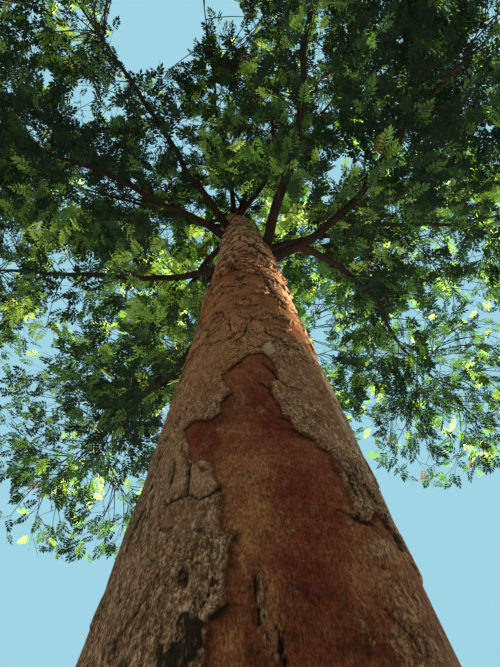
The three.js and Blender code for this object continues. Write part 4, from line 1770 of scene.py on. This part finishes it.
@dataclass(frozen=True)
class LeafShape:
    """A compound leaf: pairs of folded leaflets along a thin stalk, and one at its end.

    A leaflet is two triangles, one on each side of its midrib. Its sides are raised and its tip
    hangs. The pairs spread wide at the stalk's foot and point ahead at its end, as in a hand.
    """

    length: float = 0.150
    pairs: int = 5
    leaflet: float = 0.047
    width: float = 0.020
    splay: Pair = (80.0, 36.0)
    fold: float = 0.14
    hang: float = 0.12
    arch: float = 0.16
    stalk: float = 0.0035
    variants: int = 5
    first_seed: int = 900

    def corners(self, seed: int) -> tuple[Array, Array]:
        """One leaf with its stalk along X and its upper face along Z.

        Args:
            seed: Which of the variants.

        Returns:
            The corners, and the triangles between them.
        """
        random = np.random.default_rng(seed)
        pair = np.repeat(np.arange(self.pairs), 2)
        side = np.tile([1.0, -1.0], self.pairs)
        place = 0.30 + 0.60 * (pair + 0.12 * side + 0.2) / self.pairs
        place = np.append(place, 0.90)
        spread = self.splay[0] + (self.splay[1] - self.splay[0]) * pair / (self.pairs - 1)
        turn = np.append(np.radians(spread) * side, 0.0) + random.normal(0, 0.10, len(place))
        size = self.leaflet * np.append(0.80 + 0.28 * np.sin(math.pi * (pair + 1) / (self.pairs + 1)), 1.0)
        size *= random.uniform(0.88, 1.12, len(place))
        root = np.stack([place * self.length, np.zeros(len(place)), self.rise(place)], -1)
        ahead = np.stack([np.cos(turn), np.sin(turn), np.full(len(turn), -self.hang)], -1)
        ahead[:, 2] += random.normal(0, 0.16, len(turn))
        across = unit(np.cross(UP, ahead))
        lift = np.cross(ahead, across) * (size * self.fold * 0.4)[:, None]
        half = across * (size * self.width / self.leaflet / 2)[:, None]
        step = ahead * size[:, None]
        middle = root + 0.52 * step + lift
        leaflets = np.stack([root, middle - half, root + step, middle + half], 1)
        stem = np.array([[0, -0.5, 0], [0, 0.5, 0], [0.9, 0.3, 0], [0.9, -0.3, 0]])
        stem = stem * [self.length, self.stalk, 1] + [0, 0, -0.0008]
        stem[2:, 2] += self.rise(np.array(0.9))
        first = 4 * np.arange(len(place))[:, None]
        fans = np.array([0, 1, 2, 0, 2, 3])
        stalk = len(place) * 4 + np.array([[0, 2, 1], [0, 3, 2]])
        triangles = np.concatenate([(first + fans).reshape(-1, 3), stalk])
        return np.concatenate([leaflets.reshape(-1, 3), stem]), triangles

    def rise(self, place: Array) -> Array:
        """How far the stalk arches up and hangs again, as a parabola."""
        return self.arch * self.length * (place - 1.5 * place**2)


@dataclass(frozen=True)
class Fan:
    """How shoots or leaves leave a limb: alternately left and right, and turned less and less.

    The first leaves at a share of the way and the last at the tip. Turns are in radians.
    """

    count: int
    first: float
    widest: float
    last: float
    face_spread: float
    turn_spread: float

    def spread(self, limbs: Shoots, random: Random) -> tuple[Array, Array, Array]:
        """Where they leave each limb.

        Args:
            limbs: The limbs.
            random: Where the random numbers come from.

        Returns:
            Their roots, faces and directions, all (limbs, count, 3).
        """
        shape = (len(limbs.starts), self.count)
        roots, along = limbs.places(np.linspace(self.first, 1.0, self.count))
        faces = unit(limbs.faces[:, None] + random.normal(0, self.face_spread, (*shape, 3)))
        side = unit(np.cross(faces, along))
        turn = np.linspace(self.widest, self.last, self.count) * np.resize([1.0, -1.0], self.count)
        flip = np.where(random.random(shape[0]) < 0.5, 1.0, -1.0)[:, None]
        turn = (turn[None] * flip + random.normal(0, self.turn_spread, shape))[..., None]
        return roots, faces, along * np.cos(turn) + side * np.sin(turn)


@dataclass
class Foliage:
    """Twigs and leaves that grow on from the boughs, carried to finer twigs in each mass's space."""

    plan: CrownPlan
    view: Viewpoint
    leaf: LeafShape = LeafShape()
    branchlets: int = 90
    branchlet_reach: Pair = (0.36, 0.90)
    way_weight: float = 0.3
    shoot_fan: Fan = Fan(4, 0.4, 1.05, 0.05, 0.22, 0.22)
    shoot_length: float = 0.23
    leaf_fan: Fan = Fan(5, 0.25, 1.15, 0.0, 0.28, 0.20)
    side_sprays: int = 20
    side_start: float = 0.20
    side_end: float = 0.97
    side_length: float = 0.48
    sprayed_length: float = 2.5
    side_droop: float = 0.3
    seed: int = 4000
    outer_depth: float = 0.99
    inner_share: float = 0.8
    twig_share: float = 0.6
    branchlet_radius: float = 0.0060
    shoot_radius: float = 0.0032
    sky_gaps: Patches = patches(
        (158, 20, 54, 58, 1.0), (226, 8, 26, 20, 0.7), (290, 44, 60, 50, 0.30), (42, 80, 10, 11, 0.8),
        (80, 102, 19, 25, 0.9), (38, 131, 13, 10, 0.8), (106, 145, 13, 11, 0.7), (152, 150, 16, 15, 0.9),
        (127, 198, 15, 18, 0.9), (85, 192, 14, 10, 0.6), (30, 185, 14, 10, 0.5), (63, 260, 12, 17, 0.85),
        (85, 266, 11, 9, 0.8), (8, 256, 14, 36, 0.75), (176, 280, 30, 22, 0.3), (322, 20, 15, 11, 0.8),
        (314, 66, 15, 17, 0.8), (320, 102, 12, 22, 0.9), (327, 152, 9, 9, 0.7), (341, 172, 15, 8, 0.8),
        (326, 201, 10, 8, 0.8), (322, 238, 14, 11, 0.9), (314, 262, 12, 10, 0.7), (330, 288, 12, 13, 0.7),
        (372, 260, 13, 9, 0.6), (166, 186, 14, 10, 0.7), (118, 224, 12, 9, 0.5), (265, 132, 13, 9, 0.8),
        (212, 128, 14, 10, 0.7), (232, 105, 12, 10, 0.7), (476, 35, 7, 6, 0.8), (25, 400, 60, 100, 0.35),
        (70, 305, 28, 28, 0.40), (440, 248, 56, 26, 0.8), (452, 310, 54, 48, 0.70), (385, 330, 36, 32, 0.5),
        (325, 325, 14, 46, 0.9), (440, 440, 50, 36, 0.25),
    )
    wide_gaps: int = 2
    open_middle: float = 0.5
    fleck_size: float = 10.0
    fleck_level: float = 0.15
    fleck_share: float = 0.95
    shade_growth: float = 0.20
    plain_light: float = 0.62
    clump_light: float = 0.25
    sun_light: float = 2.1
    shade_dark: float = 0.62
    spray_spread: float = 1.0
    leaf_spread: float = 0.95
    russet_share: float = 0.003
    # Where the leaf tints are painted lighter, as painted sunlight.
    sunlit: Patches = patches(
        (168, 292, 46, 56, 0.75), (196, 232, 24, 20, 0.5), (300, 224, 46, 22, 1.0), (388, 250, 14, 12, 0.9),
        (345, 262, 40, 14, 0.5), (345, 190, 60, 34, 0.3), (225, 150, 40, 50, 0.4), (372, 440, 40, 40, 0.25),
        (470, 425, 40, 40, 0.2), (132, 520, 50, 32, 0.35), (78, 25, 34, 40, 1.1), (60, 222, 60, 40, 0.5),
        (470, 190, 40, 24, 0.5), (405, 150, 60, 10, 0.3),
    )
    # Where the leaf tints are painted darker, as painted shade; these also make the crown denser there.
    shaded: Patches = patches(
        (440, 80, 130, 130, 1.0), (20, 120, 90, 90, 0.7), (20, 16, 44, 44, 1.2), (280, 180, 40, 30, 0.4),
        (440, 180, 80, 40, 0.5), (430, 385, 60, 36, 0.5), (456, 262, 56, 50, 0.8), (130, 380, 40, 50, 0.3),
        (84, 430, 46, 56, 0.45),
    )
    groups: tuple[tuple[str, ...], ...] = (
        ("leaves_east", "lower_east", "lower_north_east", "inner_east", "upper_east"),
        ("leaves_north", "lower_north", "inner_north", "upper_north_east", "upper_north_west"),
        ("leaves_west", "lower_north_west", "lower_west", "inner_west", "upper_west"),
        ("leaves_south", "lower_south_west", "lower_south", "inner_south", "upper_south"),
        ("leaves_south_east", "lower_south_east", "lower_east_south", "upper_south_east"),
        ("leaves_top", "top_east", "top_west", "top_south", "summit"),
    )

    def grow_branchlets(self, mass: Mass, random: Random) -> Shoots:
        """The branchlets of a mass. Their tips are spread through its space on a golden spiral.

        Each leaves the stem or twig at the place with the shortest way, counting the way back along
        the wood at a third, so that they fork forwards as real ones do.

        Args:
            mass: The mass.
            random: Where its random numbers come from.

        Returns:
            The branchlets.
        """
        stem = self.plan.stem(mass)
        wood = [stem, *self.twigs(mass, stem)]
        place = np.arange(self.branchlets) + 0.5
        level = 1 - 2 * place / self.branchlets
        turn = TAU * random.random() + place * GOLDEN_ANGLE
        flat = np.sqrt(1 - level**2)
        low, high = self.branchlet_reach
        reach = low + (high - low) * ((place * 0.7549) % 1) ** 0.5
        towards = np.stack([flat * np.cos(turn), flat * np.sin(turn), level], -1)
        tips = mass.centre + towards * reach[:, None] * mass.size
        tips = tips[self.plan.owns(mass, tips)]
        share = np.linspace(0.12, 1.0, 12)
        nodes = np.concatenate([one.at(share) for one in wood])
        along = np.concatenate([one.along(share) for one in wood])
        base = np.linalg.norm(np.stack([one.at(0.0) for one in wood]) - stem.at(0.0), axis=1)
        way = np.concatenate([start + share * one.length() for start, one in zip(base, wood)])
        span = tips[:, None] - nodes[None]
        away = np.linalg.norm(span, axis=-1)
        forward = np.einsum("tnk,nk->tn", span, along) / np.maximum(away, 1e-9)
        cost = away * (1 + 0.5 * (1 - forward)) + self.way_weight * way[None]
        root = np.argmin(cost, axis=1)
        starts, heading = nodes[root], along[root]
        length = np.linalg.norm(tips - starts, axis=1, keepdims=True)
        bends = (starts + tips) / 2 + heading * 0.22 * length + UP * 0.05 * length
        faces = unit(UP + random.normal(0, 0.35, tips.shape))
        return Shoots(starts, bends, tips, faces)

    def side_branchlets(self, mass: Mass, limbs: "Limbs", random: Random) -> Shoots:
        """Branchlets along the outer part of a mass's bough, turned round it by the golden angle.

        Args:
            mass: The mass that the bough leads to.
            limbs: The boughs, for their crooks.
            random: Where the random numbers come from.

        Returns:
            The branchlets, shorter towards the trunk.
        """
        bough = bough_to(mass.name)
        curve = self.plan.boughs[mass.name]
        count = max(2, round(self.side_sprays * curve.length() / self.sprayed_length))
        place = np.arange(count) + random.random(count)
        share = self.side_start + (self.side_end - self.side_start) * place / count
        starts = curve.at(share) + limbs.crooks(bough, share)
        along = curve.along(share)
        level, upright = cross_sections(along)
        turn = (GOLDEN_ANGLE * np.arange(count) + TAU * random.random())[:, None]
        away = level * np.cos(turn) + upright * np.sin(turn) * 0.6
        ahead = unit(along * 0.8 + away - UP * self.side_droop)
        length = self.side_length * ((0.6 + 0.7 * share) * random.uniform(0.25, 1.1, count))[:, None]
        tips = starts + ahead * length
        bends = (starts + tips) / 2 + along * 0.1 * length
        return Shoots(starts, bends, tips, unit(UP + random.normal(0, 0.35, tips.shape)))

    def in_gap(self, points: Array) -> Array:
        """True for points in the middle of one of the two widest gaps."""
        return strongest(self.sky_gaps[: self.wide_gaps], self.view.pixels(points)) > self.open_middle

    def without_open(self, shoots: Shoots) -> Shoots:
        """The shoots, but for those that are somewhere in a gap."""
        points, _ = shoots.places(np.linspace(0, 1, 7))
        crossed = self.in_gap(points.reshape(-1, 3)).reshape(points.shape[:2])
        return shoots.only(~crossed.any(axis=1))

    def shadow(self, points: Array) -> Array:
        """How deep in the crown's shade points are seen."""
        return strongest(self.shaded, self.view.pixels(points))

    def twigs(self, mass: Mass, stem: Bezier) -> list[Bezier]:
        """The twigs of a mass, but for those that end in a gap."""
        return [one for one in self.plan.twig_curves(mass, stem) if not self.in_gap(one.at(1.0)[None])[0]]

    def grow_shoots(self, branchlets: Shoots, random: Random) -> Shoots:
        """The shoots of the branchlets, alternately left and right, and one on from each tip.

        Args:
            branchlets: What they leave.
            random: Where the random numbers come from.

        Returns:
            The shoots, all with leaves.
        """
        roots, faces, ahead = self.shoot_fan.spread(branchlets, random)
        ahead[..., 2] = ahead[..., 2] * 0.6 - 0.06
        ahead = unit(ahead)
        length = self.shoot_length * random.uniform(0.75, 1.2, (*roots.shape[:2], 1))
        tips = roots + ahead * length - UP * 0.05 * length
        middle = (roots + tips) / 2 + UP * 0.06 * length
        return Shoots(*(rows.reshape(-1, 3) for rows in (roots, middle, tips, faces)))

    def place_leaves(self, mass: Mass, shoots: Shoots, random: Random) -> tuple[Array, ...]:
        """Where the leaves of a mass stand, fanned out along each shoot.

        Args:
            mass: The mass.
            shoots: Its shoots.
            random: Where the random numbers come from.

        Returns:
            The leaves' roots, their turns as matrices of three columns, their sizes and their shoots.
        """
        roots, faces, ahead = self.leaf_fan.spread(shoots, random)
        ahead[..., 2] -= 0.12
        ahead = unit(ahead)
        across = unit(np.cross(faces, ahead))
        frames = np.stack([ahead, across, np.cross(ahead, across)], -1).reshape(-1, 3, 3)
        owner = np.repeat(np.arange(len(roots)), self.leaf_fan.count)
        roots, ahead = roots.reshape(-1, 3), ahead.reshape(-1, 3)
        size = random.uniform(0.78, 1.15, len(owner)) * (1 + self.shade_growth * self.shadow(roots))
        tips = roots + ahead * (size * self.leaf.length)[:, None]
        bare = random.random(len(tips)) < self.bareness(roots, tips)
        inner = np.hypot(tips[:, 0], tips[:, 1]) < self.inner_share * mass.out
        kept = ((mass.depth(tips) < self.outer_depth) | inner) & ~bare
        return roots[kept], frames[kept], size[kept], owner[kept]

    def bareness(self, roots: Array, tips: Array) -> Array:
        """How likely leaves are to be missing: where they reach into a gap, and in small flecks all over.

        Args:
            roots: Where the leaves start.
            tips: Where they end.

        Returns:
            A chance for each leaf.
        """
        parts = [self.view.pixels(points) for points in (roots, (roots + tips) / 2, tips)]
        gaps = np.max([strongest(self.sky_gaps, seen) for seen in parts], axis=0)
        dense = self.shadow((roots + tips) / 2)
        u, v = (parts[1] / self.fleck_size).T
        coarse, fine = value_noise(u, v, 997, 301), value_noise(2 * u, 2 * v, 1994, 302)
        cloud = 0.65 * coarse + 0.35 * fine - 0.4 * dense
        return np.maximum(gaps, self.fleck_share * smooth(cloud, self.fleck_level, self.fleck_level + 0.1))

    def tints(self, shoots: Shoots, owner: Array, random: Random) -> Array:
        """The tint of each leaf: its spray's own, lighter in clumps, painted lighter where the sun shows
        and darker in shade, give or take.

        Args:
            shoots: The sprays.
            owner: The spray of each leaf.
            random: Where the random numbers come from.

        Returns:
            Places in Tint. A few leaves are russet.
        """
        x, y, z = shoots.ends.T
        clump = np.sin(x * 2.3 + 1.1) + np.sin(y * 2.0 + 0.4) + np.sin(z * 2.9)
        sun = strongest(self.sunlit, self.view.pixels(shoots.ends))
        # Painted light and shade: the tint is lighter in sunlit patches and darker in shaded ones.
        light = self.plain_light + self.clump_light * clump + self.sun_light * sun
        light -= self.shade_dark * self.shadow(shoots.ends)
        light += random.normal(0, self.spray_spread, len(light))
        light = light[owner] + random.normal(0, self.leaf_spread, len(owner))
        index = np.clip(np.round(light), 0, 4).astype(int)
        return np.where(random.random(len(owner)) < self.russet_share, 5, index)

    def leaf_shell(self, placed: tuple[Array, ...], tints: Array, random: Random) -> Shell:
        """The leaves of a mass as one shell: each variant's corners, turned and moved to its leaves.

        Args:
            placed: Roots, turns, sizes and shoots, from place_leaves.
            tints: The tint of each leaf.
            random: Where the random numbers come from.

        Returns:
            The shell, with the tint of each triangle.
        """
        roots, frames, size, _ = placed
        variant = random.integers(0, self.leaf.variants, len(roots))
        shells = []
        for kind in range(self.leaf.variants):
            mine = variant == kind
            corners, triangles = self.leaf.corners(self.leaf.first_seed + kind)
            scaled = corners[None] * size[mine][:, None, None]
            points = np.einsum("nij,nkj->nki", frames[mine], scaled) + roots[mine][:, None]
            first = (np.arange(mine.sum()) * len(corners))[:, None, None]
            faces = (triangles[None] + first).reshape(-1, 3)
            finish = np.repeat(tints[mine], len(triangles))
            shells.append(Shell(points.reshape(-1, 3), faces, finish))
        return Shell.joined(shells)

    def wood(self, mass: Mass, limbs: Limbs, branchlets: Shoots, shoots: Shoots) -> Shell:
        """The stem, twigs, branchlets and shoots of a mass, each thinner than the one before.

        Args:
            mass: The mass.
            limbs: The boughs, because the stem starts as thick as its bough ends.
            branchlets: Its branchlets.
            shoots: Its shoots.

        Returns:
            One shell with all of them.
        """
        thick = float(limbs.radius(bough_to(mass.name), np.array(1.0)))
        stem = self.plan.stem(mass)
        twigs = np.stack([one.controls for one in self.twigs(mass, stem)], 1)
        return Shell.joined(
            [
                Shoots(*stem.controls[:, None], UP).tubes(thick, 8, 14),
                Shoots(*twigs, UP).tubes(self.twig_share * thick, 6, 8),
                branchlets.tubes(self.branchlet_radius, 4, 4),
                shoots.tubes(self.shoot_radius, 3, 2),
            ]
        )

    def build(self, limbs: Limbs, twig_finish: Material, tints: Sequence[Material]) -> list[Piece]:
        """Makes the leaves in one piece for each part of the crown, and the twigs in two pieces.

        Args:
            limbs: The boughs that they grow on.
            twig_finish: The twigs' material.
            tints: The leaves' materials, in the order of Tint.

        Returns:
            The pieces.
        """
        masses = {mass.name: mass for mass in MASSES}
        pieces, wood = [], {"twigs_lower": [], "twigs_upper": []}
        for group, *names in self.groups:
            shells = []
            for name in names:
                mass = masses[name]
                random = np.random.default_rng(self.seed + MASSES.index(mass))
                branchlets = self.grow_branchlets(mass, random) + self.side_branchlets(mass, limbs, random)
                branchlets = self.without_open(branchlets)
                shoots = self.without_open(self.grow_shoots(branchlets, random))
                placed = self.place_leaves(mass, shoots, random)
                shells.append(self.leaf_shell(placed, self.tints(shoots, placed[3], random), random))
                shoots = shoots.only(np.unique(placed[3]))
                level = "twigs_lower" if name.startswith(("lower", "inner")) else "twigs_upper"
                wood[level].append((mass, self.wood(mass, limbs, branchlets, shoots)))
            piece = Shell.joined(shells).piece(group, tints, soft=False)
            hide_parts(*(masses[name].node for name in names))
            pieces.append(piece)
        for name, rows in wood.items():
            piece = Shell.joined([shell for _, shell in rows]).piece(name, [twig_finish])
            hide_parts(*(mass.node for mass, _ in rows))
            pieces.append(piece)
        return pieces


@dataclass(frozen=True)
class Lamp:
    """A round soft light."""

    name: str
    place: tuple[float, float, float]
    aim: tuple[float, float, float]
    size: float
    power: float
    colour: Colour
    spread: float = 180.0

    def build(self) -> None:
        """Makes the light, turned to what it is aimed at."""
        lamp = bpy.data.lights.new(self.name, "AREA")
        lamp.shape, lamp.size = "DISK", self.size
        lamp.spread = math.radians(self.spread)
        lamp.energy, lamp.color = self.power, self.colour
        away = unit(np.array(self.place) - np.array(self.aim))
        level, _ = cross_sections(away)
        placed(self.name, lamp, (level, np.cross(away, level), away), self.place)


@dataclass(frozen=True)
class Studio:
    """The pale floor, the soft light round the tree and the camera."""

    view: Viewpoint
    floor_half: float = 60.0
    floor_drop: float = 0.001
    floor_colour: Colour = (0.52, 0.50, 0.46)
    backdrop: Colour = (0.352, 0.665, 0.791)
    sky_light: Colour = (0.44, 0.55, 0.62)
    sky_strength: float = 0.60
    lamps: tuple[Lamp, ...] = (
        Lamp("key", (5.0, 7.0, 24.0), (0.0, 0.0, 7.5), 3.0, 36000.0, (1.0, 0.95, 0.82)),
        Lamp("left_fill", (-6.0, -3.5, 3.2), (0.0, 0.0, 2.9), 2.5, 150.0, (1.0, 0.93, 0.82)),
        Lamp("right_rim", (3.4, 1.2, 2.6), (0.0, 0.0, 3.7), 0.4, 42.0, (1.0, 0.95, 0.86), 26.0),
    )

    def floor(self) -> None:
        """Makes the floor, a plain pale sheet just under the ground line."""
        square = np.array([[-1, -1, 0], [1, -1, 0], [1, 1, 0], [-1, 1, 0]])
        corners = self.floor_half * square - self.floor_drop * UP
        bench = Bench("floor_pale")
        finish = bench.finished(bench.surface({"Base Color": (*self.floor_colour, 1.0), "Roughness": 0.9}))
        floor = Shell(corners, np.array([[0, 1, 2], [0, 2, 3]])).piece("floor", [finish], soft=False)

    def sky(self) -> None:
        """Sets the plain backdrop, and the even and paler light that comes from all round."""
        bench = Bench("sky", sky=True)
        kind = "ShaderNodeBackground"
        light = bench.node(kind, {}, {"Color": (*self.sky_light, 1.0), "Strength": self.sky_strength})
        seen = bench.node(kind, {}, {"Color": (*self.backdrop, 1.0), "Strength": 1.0})
        looked_at = bench.node("ShaderNodeLightPath", {}, {}, "Is Camera Ray")
        mixed = bench.node("ShaderNodeMixShader", {}, {0: looked_at, 1: light, 2: seen})
        bpy.context.scene.world = bench.finished(mixed)

    def build(self) -> None:
        """Makes the camera, the floor and the lights."""
        self.view.camera()
        self.floor()
        self.sky()
        for lamp in self.lamps:
            lamp.build()
        bpy.context.scene.view_settings.view_transform = "Standard"


def dress(pieces: Sequence[Piece]) -> None:
    """Ties pieces to the tree's one body."""
    for piece in pieces:
        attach(piece, ROOT_BODY)


def corners(bounds: tuple) -> list[list[float]]:
    """A box's two corners as plain lists."""
    return [list(map(float, corner)) for corner in bounds]


def main() -> None:
    """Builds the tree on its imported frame, then the studio round it."""
    logging.basicConfig(level=logging.INFO, format="%(relativeCreated)6d ms %(message)s")
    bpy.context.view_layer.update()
    view = Viewpoint()
    plan = CrownPlan()
    trunk_bark = BarkFinish("trunk_bark").material()
    # The boughs' bark is a darker copy of the trunk's: painted shade of the crown over them.
    bough_bark = BarkFinish(
        "bough_bark",
        inner_red=(0.022, 0.009, 0.005),
        inner_brown=(0.024, 0.012, 0.007),
        inner_gold=(0.036, 0.022, 0.013),
        plate_brown=(0.008, 0.005, 0.004),
        plate_tan=(0.016, 0.011, 0.008),
        plate_grey=(0.030, 0.023, 0.017),
        plate_warm=(0.030, 0.014, 0.008),
    ).material()
    dress(Trunk(view).build(trunk_bark))
    limbs = Limbs(plan)
    dress(limbs.build(bough_bark, trunk_bark))
    tints = [tint.value.material() for tint in Tint]
    foliage = Foliage(plan, view)
    dress(foliage.build(limbs, TwigFinish("twig_bark").material(), tints))
    Studio(view).build()
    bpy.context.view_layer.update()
    log.info("done")


if __name__ == "__main__":
    main()
